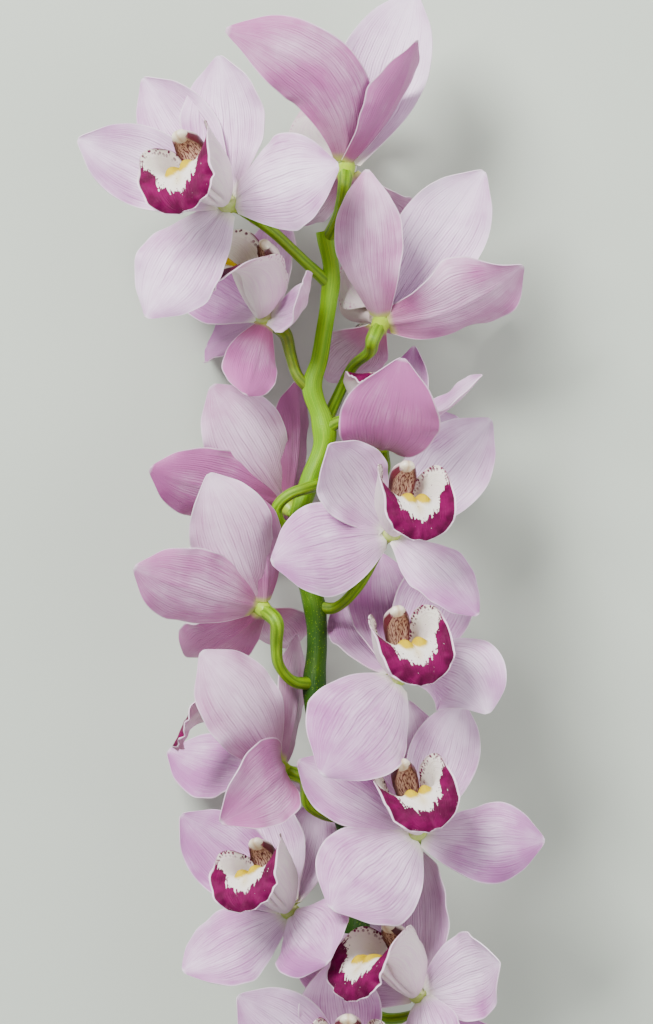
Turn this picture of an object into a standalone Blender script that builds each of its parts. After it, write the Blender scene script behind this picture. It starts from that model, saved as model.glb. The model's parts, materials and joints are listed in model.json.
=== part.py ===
"""A cymbidium orchid stem laid on a table: one scape with fourteen blooms.

Every bloom is three nodes: its five tepals grown together at the hub, its lip, and its column. The scape
and the short stalks of the blooms grew as one piece, so they are one node. Places are millimetres as the
stem is seen from above: x to the right, y towards the stem's tip, and the height over the scape's axis.
"""

from math import copysign, cos, pi, radians, sin
from typing import Callable, NamedTuple

import bmesh
import bpy
from mathutils import Vector

MM = 0.001

# Where the table and the middle of the whole stem are, as seen from the scape's axis
AXIS_OVER_TABLE = 50.55
MIDDLE = (-6.73, -127.34)

# Wall of the tepals and lips, and the clearance between neighbours
BLADE_THICKNESS = 1.2
CLEARANCE = 0.35
TEPAL_CELLS = (5, 4)
LIP_CELLS = (6, 5)

# Scape and stalks
SCAPE_RADII = (3.2, 5.2)
SCAPE_STEPS = 28
STALK_STEPS = 5
STALK_RADII = [2.9, 2.3, 2.3, 2.6, 2.9, 2.6]
OVARY_LENGTH = 9
FACET_LENGTH = 90

# Hub of a bloom of common size, from its ovary to the nose that carries the lip and the column: (up, out)
HUB_MIDLINE = [(0, -5), (0, -2.5), (0, 1.6), (1.2, 2.6), (3.6, 5.7)]
HUB_RADII = [2.9, 4.4, 4.6, 2.7, 2.4]

# Outline of a tepal: width at its root, how early and how bluntly it closes, and the waves of its edges
ROOT_WIDTH = 0.30
RISE = 1.1
CLOSE = 0.85
ROOT_START = 3.0
TIP_CROWDING = 1.3
BLUNT_TIP = 0.06
WAVE_BEAT = 8.2
WAVE_SHIFT = 2.3

# Lip and column of a bloom of common size, in its upright plane: (up, out) from the hub
LIP_MIDLINE = [(-2, 4.6), (-0.5, 12), (2.5, 20.5), (5.5, 29.5), (4, 38), (-3, 43), (-12.5, 42.5)]
LIP_STATIONS = [0, 0.10, 0.22, 0.34, 0.45, 0.55, 0.64, 0.74, 0.86, 0.95, 1]
LIP_HALF_WIDTHS = [3.8, 14.5, 22.5, 26, 27, 24.5, 18.5, 16, 14, 9.5, 3]
LIP_BENDS = [60, 115, 135, 138, 133, 100, 58, 20, -12, -24, -28]
LEAST_BEND = radians(4)
LOBE_SWEEP = 3
SWEEP_STATIONS = [0, 0.3, 0.6, 0.8, 1]
SWEEP_SHARES = [0, 1, 1.2, 0, 0]
COLUMN_MIDLINE = [(4.2, 6.4), (10, 11), (16, 15), (21, 19.5), (23, 25.5)]
COLUMN_WIDTHS = [3.4, 3.8, 5, 5.6, 5.4, 3.4]
COLUMN_DEPTHS = [3.2, 3, 3, 3.4, 4.2, 2.6]
COLUMN_CELLS = (4, 6)

WELD = 0.00001
SHARP_ANGLE = radians(50)
TEPAL_NAMES = ("dorsal", "left_petal", "right_petal", "left_sepal", "right_sepal")


class Tepal(NamedTuple):
    """A sepal or petal: its tip, its width, and how it bends and waves (shares of its length and half width)."""

    tip: tuple
    width: float
    bow: float
    cup: float
    inner: tuple | None = None
    twist: float = 0.0
    sway: float = 0.0
    wave: float = 0.12


class Bloom(NamedTuple):
    """One bloom: its hub, the way it faces, its tepals, and its stalk's way out from the scape."""

    hub: tuple
    facing: tuple
    up: tuple
    size: float
    dorsal: Tepal
    left_petal: Tepal
    right_petal: Tepal
    left_sepal: Tepal
    right_sepal: Tepal
    stalk: list


BLOOMS = {
    "a": Bloom(
        hub=(8, 144, 6), facing=(0.05, 0.6, -0.8), up=(-0.66, -0.58, -0.48), size=1.05,
        dorsal=Tepal((37, 219, 2), 38, -0.03, 0.2, inner=(-0.2, -0.2, 1)),
        left_petal=Tepal((-42, 201, 36), 36, -0.1, 0.15, inner=(0.2, 0.2, -1), sway=-0.24),
        right_petal=Tepal((38, 197, 30), 28, -0.06, 0.3, inner=(-0.9, 0.1, -0.6)),
        left_sepal=Tepal((-32, 122, -40), 32, -0.06, 0.2),
        right_sepal=Tepal((32, 116, -44), 32, -0.1, 0.2),
        stalk=[(0, 114, 0), (5, 125, 8)],
    ),
    "b": Bloom(
        hub=(22.6, 79, 8), facing=(0.28, 0.6, -0.8), up=(-0.88, -0.26, -0.41), size=1.0,
        dorsal=Tepal((66, 143, 6), 38, -0.03, 0.2, inner=(-0.2, -0.2, 1)),
        left_petal=Tepal((17, 143, 30), 30, -0.1, 0.15, inner=(0.4, 0.2, -1)),
        right_petal=Tepal((82, 103, 26), 39, -0.05, 0.2, inner=(-0.2, 0.5, -1), twist=20, sway=-0.07, wave=0.26),
        left_sepal=Tepal((1, 55, -40), 30, -0.04, 0.2, inner=(0, 0.6, -1)),
        right_sepal=Tepal((70, 91, -40), 32, -0.06, 0.2),
        stalk=[(-2, 34, 0), (4, 47, -10), (11, 61, -6), (18, 67, 8)],
    ),
    "c": Bloom(
        hub=(-41, 129, 30), facing=(-0.44, 0.17, 0.88), up=(-0.31, 0.89, -0.33), size=1.1,
        dorsal=Tepal((-77, 182, 6), 34, -0.06, 0.25),
        left_petal=Tepal((-104, 156, 20), 34, -0.05, 0.2),
        right_petal=Tepal((-45, 191, 18), 38, -0.06, 0.2),
        left_sepal=Tepal((-75, 81, 38), 40, 0.08, -0.15),
        right_sepal=Tepal((5, 144, 52), 42, 0.12, -0.25),
        stalk=[(2, 95, 0), (-9, 105, 4), (-23, 118, 10)],
    ),
    "d": Bloom(
        hub=(-25, 81, 4), facing=(-0.55, 0.45, 0.55), up=(0.63, 0.78, 0), size=1.0,
        dorsal=Tepal((-23, 125, -20), 28, -0.08, 0.25),
        left_petal=Tepal((-66, 105, -36), 30, -0.08, 0.25),
        right_petal=Tepal((-10, 95, 54), 28, -0.14, 0.25),
        left_sepal=Tepal((-51, 70, -50), 30, 0, 0.2),
        right_sepal=Tepal((-34, 49, 28), 25, 0.05, 0.2, inner=(-0.2, 0.2, -1)),
        stalk=[(-6, 51, 0), (-12, 57, 0), (-15, 66, -4)],
    ),
    "e": Bloom(
        hub=(-17, 3, -8), facing=(-0.5, 0.5, -0.55), up=(0.6, -0.4, -0.65), size=1.0,
        dorsal=Tepal((-13, 55, -12), 26, -0.06, 0.25, inner=(-0.8, 0.1, -0.6)),
        left_petal=Tepal((-48, 53, 16), 36, -0.05, 0.2, inner=(-0.2, 0, -1)),
        right_petal=Tepal((-74, 18, 18), 34, -0.04, 0.2, inner=(-0.1, 0.4, -1)),
        left_sepal=Tepal((-44, -26, -46), 28, -0.05, 0.2, inner=(-0.3, 0.6, -0.6)),
        right_sepal=Tepal((19, -20, -46), 28, 0, 0.2, inner=(0, 0.7, -0.6)),
        stalk=[(-1, 12, 0), (-8, 10, 11), (-16, 7, 13), (-21, 1, 11), (-18, -6, 8)],
    ),
    "f": Bloom(
        hub=(-27, -40, 16), facing=(-0.5, 0.5, -0.7), up=(0.3, 0.86, 0.4), size=0.94,
        dorsal=Tepal((-31, 9, 20), 24, -0.11, 0.25, inner=(-0.6, 0.1, -0.8)),
        left_petal=Tepal((-49, 16, 42), 36, -0.06, 0.2, inner=(-0.2, 0, -1), wave=0.24),
        right_petal=Tepal((-80, -23, 48), 36, -0.06, 0.2, inner=(-0.1, 0.4, -1)),
        left_sepal=Tepal((-59, -61, -14), 34, -0.08, 0.2, inner=(-0.2, 0.7, -0.7)),
        right_sepal=Tepal((-15, -58, -45), 30, -0.01, 0.2, inner=(0, 0.7, -1)),
        stalk=[(-5, -72, 0), (-14, -71, 8), (-20, -64, 14), (-21, -55, 18)],
    ),
    "g": Bloom(
        hub=(27, -9, 24), facing=(0.28, 0.22, 0.93), up=(-0.02, 0.97, -0.23), size=1.0,
        dorsal=Tepal((57, 30, -10), 28, -0.05, 0.25),
        left_petal=Tepal((1, 28, 50), 34, -0.12, 0.25, inner=(0.5, -0.2, 0.8)),
        right_petal=Tepal((69, 39, 0), 36, -0.08, 0.2),
        left_sepal=Tepal((-23, -21, 42), 40, 0.1, -0.2),
        right_sepal=Tepal((63, -43, 41), 29, 0.1, -0.2, inner=(0.5, 0.2, 0.8)),
        stalk=[(-6, -39, 0), (4, -40, 3), (14, -30, 13)],
    ),
    "h": Bloom(
        hub=(23, 28, 2), facing=(-0.05, 0.93, 0.35), up=(-0.22, 0.33, -0.92), size=0.77,
        dorsal=Tepal((37, 70, -20), 22, -0.16, 0.2, inner=(-0.4, 0, 1)),
        left_petal=Tepal((3, 20, -42), 26, 0.05, 0.2),
        right_petal=Tepal((65, 57, 26), 24, -0.05, 0.3, inner=(0, 0.8, 0.4)),
        left_sepal=Tepal((31.5, 64, 48), 42, -0.24, -0.1, inner=(0, 0.3, -1), wave=0.16),
        right_sepal=Tepal((56, 40, -50), 24, -0.02, 0.2, inner=(0, 0.3, 0.9)),
        stalk=[(-1, 34, 0), (7, 38, 4), (12, 29, 8), (17, 18, 5)],
    ),
    "i": Bloom(
        hub=(30, -69, 24), facing=(0.2, 0.22, 0.95), up=(-0.24, 0.95, -0.2), size=1.0,
        dorsal=Tepal((22, -17, -14), 34, -0.05, 0.25),
        left_petal=Tepal((7, -36, -18), 32, -0.05, 0.2),
        right_petal=Tepal((56, -17, 0), 34, -0.05, 0.2),
        left_sepal=Tepal((-2, -109, 62), 47, 0.11, -0.2),
        right_sepal=Tepal((67, -84, 42), 37, 0.08, -0.2, sway=-0.26),
        stalk=[(-3, -84, 0), (8, -81, -4), (20, -76, 4)],
    ),
    "j": Bloom(
        hub=(38, -134, 26), facing=(0.06, 0.32, 0.95), up=(-0.34, 0.9, -0.27), size=1.0,
        dorsal=Tepal((34, -79, 8), 30, -0.05, 0.25),
        left_petal=Tepal((-12, -104, 24), 30, -0.05, 0.2),
        right_petal=Tepal((57, -79, 14), 30, -0.05, 0.2),
        left_sepal=Tepal((2, -165, 54), 48, 0.06, -0.2),
        right_sepal=Tepal((91, -137, 34), 35, 0.06, -0.15, inner=(0, 0.6, 0.8), twist=45, sway=0.08, wave=0.2),
        stalk=[(12, -150, 0), (20, -150, -1), (30, -143, 7)],
    ),
    "k": Bloom(
        hub=(-20, -107, 14), facing=(-0.85, 0.42, -0.1), up=(0.45, 0.84, -0.3), size=1.0,
        dorsal=Tepal((-12, -52, -22), 28, -0.05, 0.15, inner=(-0.9, 0, -0.4)),
        left_petal=Tepal((-67, -101, -38), 36, -0.1, 0.2, inner=(-0.2, 0.5, 0.8)),
        right_petal=Tepal((-52, -58, 52), 38, -0.1, 0.2, inner=(-0.3, -0.2, -1)),
        left_sepal=Tepal((-4, -119, -44), 30, 0, 0.2, inner=(0, 0.6, -0.8)),
        right_sepal=Tepal((-44, -129, 56), 36, -0.25, -0.2, inner=(0, 0.3, -1), sway=-0.1),
        stalk=[(8, -128, 0), (-1, -127, 6), (-8, -122, 11)],
    ),
    "l": Bloom(
        hub=(-15, -167, 18), facing=(-0.45, 0.3, 0.84), up=(-0.14, 0.91, -0.39), size=1.0,
        dorsal=Tepal((-32, -117, -6), 34, -0.05, 0.25),
        left_petal=Tepal((-61, -127, 6), 34, -0.05, 0.2),
        right_petal=Tepal((-5, -121, -20), 30, -0.05, 0.2),
        left_sepal=Tepal((-60, -192, 24), 36, 0.03, -0.2),
        right_sepal=Tepal((1, -187, 56), 38, 0.1, -0.2),
        stalk=[(13, -176, 0), (1, -174, -1)],
    ),
    "m": Bloom(
        hub=(39, -202, 24), facing=(-0.64, 0.26, 0.73), up=(0.12, 0.96, -0.23), size=1.0,
        dorsal=Tepal((38, -141, 6), 36, -0.05, 0.25),
        left_petal=Tepal((8, -169, -30), 28, -0.05, 0.2),
        right_petal=Tepal((72, -187, 62), 38, -0.1, 0.2, inner=(-0.5, 0, 0.8)),
        left_sepal=Tepal((-16, -185, 8), 32, -0.1, 0.2),
        right_sepal=Tepal((50, -247, 66), 40, 0.1, -0.2),
        stalk=[(10, -205, 0), (25, -213, -8), (41, -210, 0)],
    ),
    "n": Bloom(
        hub=(9, -237, 20), facing=(0, 0.05, 1), up=(0, 1, 0), size=1.05,
        dorsal=Tepal((3, -187, 26), 36, -0.06, 0.3),
        left_petal=Tepal((-37, -202, 30), 34, -0.05, 0.2),
        right_petal=Tepal((71, -217, 18), 32, -0.05, 0.2),
        left_sepal=Tepal((-17, -285, 40), 36, 0.08, -0.2),
        right_sepal=Tepal((39, -287, 38), 36, 0.08, -0.2),
        stalk=[(7, -247, -3)],
    ),
}
SCAPE_ROUTE = [
    (-1, 118, 0), (2, 102, 0), (1, 89, 0), (-1, 76, 0), (-3, 64, 0), (-6, 52, 0), (-2, 39, 0),
    (-1, 29, 0), (-7, 13, 0), (-12, -5, 0), (-10, -22, 0), (-5, -40, 0), (-4, -56, 0), (-5, -75, 0),
    (-1, -94, 0), (7, -113, 0), (8, -127, 0), (12, -142, 0), (13, -163, 0), (12, -188, 0), (9, -222, -3),
    (5, -289, -15), (3, -373, -37), (2, -425, -45.2), (1, -474, -45.8),
]


def place(point) -> Vector:
    """A layout point in millimetres as a world point in metres."""
    x, y, height = point
    return Vector((x - MIDDLE[0], y - MIDDLE[1], height + AXIS_OVER_TABLE)) * MM


def along(values, share: float) -> float:
    """The value at a share of the way along a list of evenly spaced values."""
    step = min(max(share, 0.0), 1.0) * (len(values) - 1)
    low = min(int(step), len(values) - 2)
    return values[low] + (values[low + 1] - values[low]) * (step - low)


def smooth_route(points, share: float) -> Vector:
    """The point at a share of the way along a smooth curve through the points (Catmull-Rom)."""
    knots = [Vector(point) for point in points]
    knots = [2 * knots[0] - knots[1], *knots, 2 * knots[-1] - knots[-2]]
    step = min(max(share, 0.0), 1.0) * (len(knots) - 3)
    low = min(int(step), len(knots) - 4)
    before, start, end, after = knots[low : low + 4]
    part = step - low
    return 0.5 * (
        2 * start
        + (end - before) * part
        + (2 * before - 5 * start + 4 * end - after) * part**2
        + (3 * start - before - 3 * end + after) * part**3
    )


def half_outline(share: float) -> float:
    """Half width of a tepal along its length, 1 at its widest."""
    widest = RISE / (RISE + CLOSE)
    peak = widest**RISE * (1 - widest) ** CLOSE
    root = (1 - share) ** 2.2
    body = share**RISE * (1 - share) ** CLOSE / peak
    return ROOT_WIDTH * root + BLUNT_TIP * share**6 + body * (1 - 0.5 * ROOT_WIDTH * root)


def crowded(share: float) -> float:
    """Shares of a tepal's length, closer together towards its tip, where its outline turns fastest."""
    return 1 - (1 - share) ** TIP_CROWDING


class BladeShape:
    """The middle surface of one tepal: an arched rib with a cupped, pointed oval of waved edges across it."""

    def __init__(self, bloom: Bloom, tepal: Tepal):
        """Args: bloom: the bloom it grows in. tepal: its tip, width and bends."""
        self.tepal = tepal
        self.root = Vector(bloom.hub)
        reach = Vector(tepal.tip) - self.root
        self.length = reach.length
        self.chord = reach.normalized()
        inner = Vector(tepal.inner or bloom.facing)
        self.inner = (inner - inner.dot(self.chord) * self.chord).normalized()
        self.across = self.chord.cross(self.inner)

    def point(self, share: float, side: float) -> Vector:
        """A point at a share of the length, and at side -1 to 1 across the width."""
        tepal = self.tepal
        reach = ROOT_START + (self.length - ROOT_START) * share
        part = reach / self.length
        sag = tepal.bow * self.inner + tepal.sway * self.across
        way = (self.chord + 4 * (1 - 2 * part) * sag).normalized()
        turn = radians(tepal.twist) * share
        across = cos(turn) * self.across - sin(turn) * self.inner
        across = (across - across.dot(way) * way).normalized()
        half = tepal.width / 2 * half_outline(share)
        spread = half * side * (1 - 0.18 * abs(tepal.cup) * side**2)
        beat = sin(WAVE_BEAT * share + WAVE_SHIFT * copysign(1, side) + tepal.tip[0])
        rise = half * (tepal.cup * side**2 + tepal.wave * abs(side) ** 3 * beat)
        middle = self.root + reach * self.chord + self.length * 4 * part * (1 - part) * sag
        return middle + spread * across + rise * across.cross(way)


class BloomFrame:
    """The bloom's own directions: right, up, and the way it faces, with the hub at nought."""

    def __init__(self, bloom: Bloom):
        """Args: bloom: the bloom whose directions these are."""
        self.bloom = bloom
        self.facing = Vector(bloom.facing).normalized()
        up = Vector(bloom.up)
        self.up = (up - up.dot(self.facing) * self.facing).normalized()
        self.right = self.up.cross(self.facing)

    def point(self, x: float, y: float, z: float) -> Vector:
        """A point of the bloom, in millimetres of a bloom of common size."""
        local = x * self.right + y * self.up + z * self.facing
        return Vector(self.bloom.hub) + self.bloom.size * local


def midline(line, share: float):
    """A point on a midline in the bloom's upright plane, with the way along it and its upper side."""
    here = smooth_route([(0, y, z) for y, z in line], share)
    ahead = smooth_route([(0, y, z) for y, z in line], share + 0.001)
    behind = smooth_route([(0, y, z) for y, z in line], share - 0.001)
    way = (ahead - behind).normalized()
    return here, way, Vector((0, way.z, -way.y))


def lip_point(share: float, side: float):
    """A point of the lip: its sides stand up beside the column and its end curls down."""
    here, way, upper = midline(LIP_MIDLINE, share)
    half = interpolate(share, LIP_STATIONS, LIP_HALF_WIDTHS)
    bend = radians(interpolate(share, LIP_STATIONS, LIP_BENDS))
    if abs(bend) < LEAST_BEND:
        bend = LEAST_BEND if bend >= 0 else -LEAST_BEND
    radius = half / bend
    sweep = LOBE_SWEEP * side**2 * interpolate(share, SWEEP_STATIONS, SWEEP_SHARES)
    edge = here + radius * (1 - cos(bend * side)) * upper - sweep * way
    return radius * sin(bend * side), edge.y, edge.z


def column_point(share: float, turn: float):
    """A point of the column's skin, at a share of its length and a turn round it."""
    here, _, upper = midline(COLUMN_MIDLINE, share)
    skin = here + along(COLUMN_DEPTHS, share) * sin(turn) * upper
    return along(COLUMN_WIDTHS, share) * cos(turn), skin.y, skin.z


def interpolate(value: float, stations, levels) -> float:
    """The level at a value, on straight lines between stations."""
    for low in range(len(stations) - 2):
        if value <= stations[low + 1]:
            break
    else:
        low = len(stations) - 2
    part = (value - stations[low]) / (stations[low + 1] - stations[low])
    return levels[low] + (levels[low + 1] - levels[low]) * min(max(part, 0.0), 1.0)


def new_object(name: str, mesh: bpy.types.Mesh) -> bpy.types.Object:
    """Puts a mesh in the scene as an object."""
    made = bpy.data.objects.new(name, mesh)
    bpy.context.scene.collection.objects.link(made)
    return made


def move_to(item: bpy.types.Object, home: bpy.types.Collection) -> None:
    """Moves an object from the scene's own collection to another."""
    bpy.context.scene.collection.objects.unlink(item)
    home.objects.link(item)


def cube(name: str, middle: Vector, size: float) -> bpy.types.Object:
    """A cube round a layout point."""
    shape = bmesh.new()
    bmesh.ops.create_cube(shape, size=size * MM)
    bmesh.ops.translate(shape, verts=shape.verts[:], vec=place(middle))
    mesh = bpy.data.meshes.new(name)
    shape.to_mesh(mesh)
    shape.free()
    return new_object(name, mesh)


def evaluated_mesh(source: bpy.types.Object) -> bpy.types.Mesh:
    """The object's mesh with its modifiers applied, welded where caps meet sides."""
    bpy.context.view_layer.update()
    graph = bpy.context.evaluated_depsgraph_get()
    mesh = bpy.data.meshes.new_from_object(source.evaluated_get(graph))
    shape = bmesh.new()
    shape.from_mesh(mesh)
    bmesh.ops.remove_doubles(shape, verts=shape.verts[:], dist=WELD)
    shape.to_mesh(mesh)
    shape.free()
    return mesh


def baked(source: bpy.types.Object) -> bpy.types.Object:
    """Replaces an object by a plain mesh object of its evaluated shape."""
    name = source.name
    mesh = evaluated_mesh(source)
    bpy.data.objects.remove(source)
    return new_object(name, mesh)


def grid(cells, point: Callable) -> bmesh.types.BMesh:
    """A grid over shares 0 to 1 and sides -1 to 1, laid on a formula's surface."""
    shape = bmesh.new()
    bmesh.ops.create_grid(shape, x_segments=cells[0], y_segments=cells[1], size=1)
    for vertex in shape.verts:
        vertex.co = place(point((vertex.co.x + 1) / 2, vertex.co.y))
    return shape


def sheet(name: str, cells, point: Callable) -> bpy.types.Object:
    """A thin blade with the same triangles on both faces."""
    shape = grid(cells, point)
    bmesh.ops.triangulate(shape, faces=shape.faces[:])
    mesh = bpy.data.meshes.new(name)
    shape.to_mesh(mesh)
    shape.free()
    blade = new_object(name, mesh)
    wall = blade.modifiers.new("wall", "SOLIDIFY")
    wall.thickness = BLADE_THICKNESS * MM
    wall.offset = 0
    return baked(blade)


def tube(name: str, points, radii, bevel_resolution: int) -> bpy.types.Object:
    """A stem through the points, with a radius at each."""
    curve = bpy.data.curves.new(name, "CURVE")
    curve.dimensions = "3D"
    curve.bevel_depth = MM
    curve.bevel_resolution = bevel_resolution
    curve.use_fill_caps = True
    spline = curve.splines.new("POLY")
    spline.points.add(len(points) - 1)
    for knot, point, radius in zip(spline.points, points, radii):
        knot.co = (*place(point), 1)
        knot.radius = radius
    return baked(new_object(name, curve))


def joined(name: str, parts) -> bpy.types.Object:
    """One solid from overlapping ones, by a Boolean union on a collection of them."""
    first, *others = parts
    group = bpy.data.collections.new(name + "_repeats")
    bpy.context.scene.collection.children.link(group)
    for other in others:
        move_to(other, group)
    union = first.modifiers.new("union", "BOOLEAN")
    union.operation = "UNION"
    union.operand_type = "COLLECTION"
    union.collection = group
    node = baked(first)
    for other in list(group.objects):
        bpy.data.objects.remove(other)
    bpy.data.collections.remove(group)
    node.name = name
    return node


def finish(node: bpy.types.Object, material, home) -> None:
    """Gives a node its material, smooth shading and its place in the stem's collection."""
    node.data.materials.clear()
    node.data.materials.append(material)
    node.data.shade_smooth()
    node.data.set_sharp_from_angle(angle=SHARP_ANGLE)
    move_to(node, home)


def material(name: str, colour, roughness: float) -> bpy.types.Material:
    """A plain Principled material."""
    made = bpy.data.materials.new(name)
    made.use_nodes = True
    shader = made.node_tree.nodes["Principled BSDF"]
    shader.inputs["Base Color"].default_value = (*colour, 1)
    shader.inputs["Roughness"].default_value = roughness
    return made


def tepals_node(letter: str, bloom: Bloom) -> bpy.types.Object:
    """Five tepals grown together round the hub."""
    frame = BloomFrame(bloom)
    rings = [frame.point(0, up, out) for up, out in HUB_MIDLINE]
    parts = [tube("hub", rings, [radius * bloom.size for radius in HUB_RADII], 1)]
    for name in TEPAL_NAMES:
        blade = BladeShape(bloom, getattr(bloom, name))
        parts.append(sheet(name, TEPAL_CELLS, lambda share, side: blade.point(crowded(share), side)))
    return joined(f"bloom_{letter}_tepals", parts)


def lip_node(letter: str, bloom: Bloom) -> bpy.types.Object:
    """The lip, in the hollow under the column."""
    frame = BloomFrame(bloom)
    return sheet(f"bloom_{letter}_lip", LIP_CELLS, lambda share, side: frame.point(*lip_point(share, side)))


def column_node(letter: str, bloom: Bloom) -> bpy.types.Object:
    """The arched column with its anther cap: a grid rolled into a closed tube."""
    frame = BloomFrame(bloom)
    shape = grid(COLUMN_CELLS, lambda share, side: frame.point(*column_point(share, pi * side)))
    bmesh.ops.remove_doubles(shape, verts=shape.verts[:], dist=WELD)
    bmesh.ops.holes_fill(shape, edges=shape.edges[:])
    bmesh.ops.triangulate(shape, faces=shape.faces[:])
    bmesh.ops.recalc_face_normals(shape, faces=shape.faces[:])
    mesh = bpy.data.meshes.new("column")
    shape.to_mesh(mesh)
    shape.free()
    return new_object(f"bloom_{letter}_column", mesh)


def stalk(bloom: Bloom) -> bpy.types.Object:
    """A bloom's short stalk, swelling into the ovary that ends just under the hub."""
    frame = BloomFrame(bloom)
    end = Vector(bloom.hub) - (bloom.size * -HUB_MIDLINE[0][1] + CLEARANCE) * frame.facing
    route = [*bloom.stalk, end - OVARY_LENGTH * frame.facing]
    points = [smooth_route(route, step / STALK_STEPS) for step in range(STALK_STEPS + 1)]
    points += [end - OVARY_LENGTH / 2 * frame.facing, end]
    radii = [along(STALK_RADII, step / (len(points) - 1)) for step in range(len(points))]
    return tube("stalk", points, radii, 1)


def scape_node(cutters) -> bpy.types.Object:
    """The scape with the stalks of all blooms, and a flat facet where its cut end lies on the table."""
    shares = [step / SCAPE_STEPS for step in range(SCAPE_STEPS + 1)]
    points = [smooth_route(SCAPE_ROUTE, share) for share in shares]
    stem = tube("stem", points, [along(SCAPE_RADII, share) for share in shares], 2)
    node = joined("scape", [stem, *(stalk(bloom) for bloom in BLOOMS.values())])
    cut_end = Vector(SCAPE_ROUTE[-1])
    below_table = Vector((cut_end.x, cut_end.y, -AXIS_OVER_TABLE - FACET_LENGTH / 2))
    cutter = cube("table_plane", below_table, FACET_LENGTH)
    cutter.hide_render = True
    cutter.display_type = "WIRE"
    move_to(cutter, cutters)
    facet = node.modifiers.new("facet", "BOOLEAN")
    facet.operation = "DIFFERENCE"
    facet.object = cutter
    return node


def new_collection(name: str) -> bpy.types.Collection:
    """A collection in the scene."""
    made = bpy.data.collections.new(name)
    bpy.context.scene.collection.children.link(made)
    return made


def main() -> None:
    """Clears the scene and builds the stem."""
    for old in list(bpy.data.objects):
        bpy.data.objects.remove(old)
    home = new_collection("cymbidium_orchid_stem")
    cutters = new_collection("cutters")
    cutters.hide_render = True
    finish(scape_node(cutters), material("scape_green", (0.38, 0.55, 0.10), 0.45), home)
    for letter, bloom in BLOOMS.items():
        lilac = material(f"lilac_{letter}", (0.78, 0.55, 0.68), 0.5)
        magenta = material(f"magenta_{letter}", (0.60, 0.08, 0.25), 0.45)
        cream = material(f"cream_{letter}", (0.85, 0.78, 0.60), 0.4)
        finish(tepals_node(letter, bloom), lilac, home)
        finish(lip_node(letter, bloom), magenta, home)
        finish(column_node(letter, bloom), cream, home)


if __name__ == "__main__":
    main()
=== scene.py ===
"""Looks of a cymbidium orchid stem that lies on a pale table, seen from straight above.

Places in the plans below are the ones that the solids were modelled from: millimetres as the stem is
seen from above, x to the right, y towards the stem's tip, and the height over the scape's axis.
"""

import json
import logging
from dataclasses import dataclass
from enum import Enum
from typing import Callable, Optional, Sequence, Union

import bpy
import numpy as np
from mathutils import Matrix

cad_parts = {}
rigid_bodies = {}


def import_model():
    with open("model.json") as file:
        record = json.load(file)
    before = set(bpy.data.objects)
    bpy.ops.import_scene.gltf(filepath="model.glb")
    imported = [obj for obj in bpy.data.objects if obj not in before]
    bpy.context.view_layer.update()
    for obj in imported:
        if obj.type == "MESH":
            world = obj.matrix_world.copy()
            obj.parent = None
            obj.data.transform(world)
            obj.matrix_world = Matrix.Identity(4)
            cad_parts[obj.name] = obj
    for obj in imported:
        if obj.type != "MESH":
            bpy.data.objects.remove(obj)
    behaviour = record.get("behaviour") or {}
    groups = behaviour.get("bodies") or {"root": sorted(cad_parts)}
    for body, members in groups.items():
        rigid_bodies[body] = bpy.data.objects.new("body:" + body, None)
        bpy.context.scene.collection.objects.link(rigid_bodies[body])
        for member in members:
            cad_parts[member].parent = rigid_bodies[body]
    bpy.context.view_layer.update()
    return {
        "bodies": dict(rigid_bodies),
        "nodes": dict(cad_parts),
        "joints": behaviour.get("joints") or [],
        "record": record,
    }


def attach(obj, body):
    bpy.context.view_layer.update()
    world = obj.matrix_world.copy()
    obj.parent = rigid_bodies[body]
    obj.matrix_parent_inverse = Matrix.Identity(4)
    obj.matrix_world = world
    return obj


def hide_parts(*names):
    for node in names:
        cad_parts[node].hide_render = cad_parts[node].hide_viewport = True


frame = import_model()

log = logging.getLogger("orchid_stem")

Array = np.ndarray
Point = tuple[float, float, float]
Colour = tuple[float, float, float]
Levels = tuple[float, ...]
Line = tuple[tuple[float, float], ...]
Surface = Callable[[Array, Array], Array]
Socket = bpy.types.NodeSocket
Value = Union[float, Colour, Socket]

MM = 0.001
AXIS_OVER_TABLE = 50.55
MIDDLE = (-6.73, -127.34)
BODY = "root"


class Tint(Enum):
    """How deep the lilac of a tepal is, from nearly white to mauve."""

    PALE = 0.0
    SOFT = 0.30
    LILAC = 0.52
    DEEP = 0.75
    MAUVE = 1.0


class StalkTone(Enum):
    """The green of a bloom's stalk."""

    PALE = 0.45
    OLIVE = 1.0


class Skin(Enum):
    """The finishes that the pieces wear."""

    TEPAL_FACE = "tepal_face"
    TEPAL_BACK = "tepal_back"
    LIP_FACE = "lip_face"
    LIP_BACK = "lip_back"
    COLUMN = "column"
    CAP = "anther_cap"
    HUB = "hub"
    GREEN = "green"


@dataclass(frozen=True)
class Tepal:
    """A sepal or petal: its tip, its width, how it bends and waves, and its tint."""

    tip: Point
    width: float
    bow: float
    cup: float
    inner: Optional[Point] = None
    twist: float = 0.0
    sway: float = 0.0
    wave: float = 0.12
    tint: Tint = Tint.LILAC


@dataclass(frozen=True)
class Bloom:
    """One bloom: its hub, the way it faces, its tepals, and its stalk's way out from the scape."""

    hub: Point
    facing: Point
    up: Point
    size: float
    dorsal: Tepal
    left_petal: Tepal
    right_petal: Tepal
    left_sepal: Tepal
    right_sepal: Tepal
    stalk: list[Point]
    tone: StalkTone = StalkTone.PALE


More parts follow.
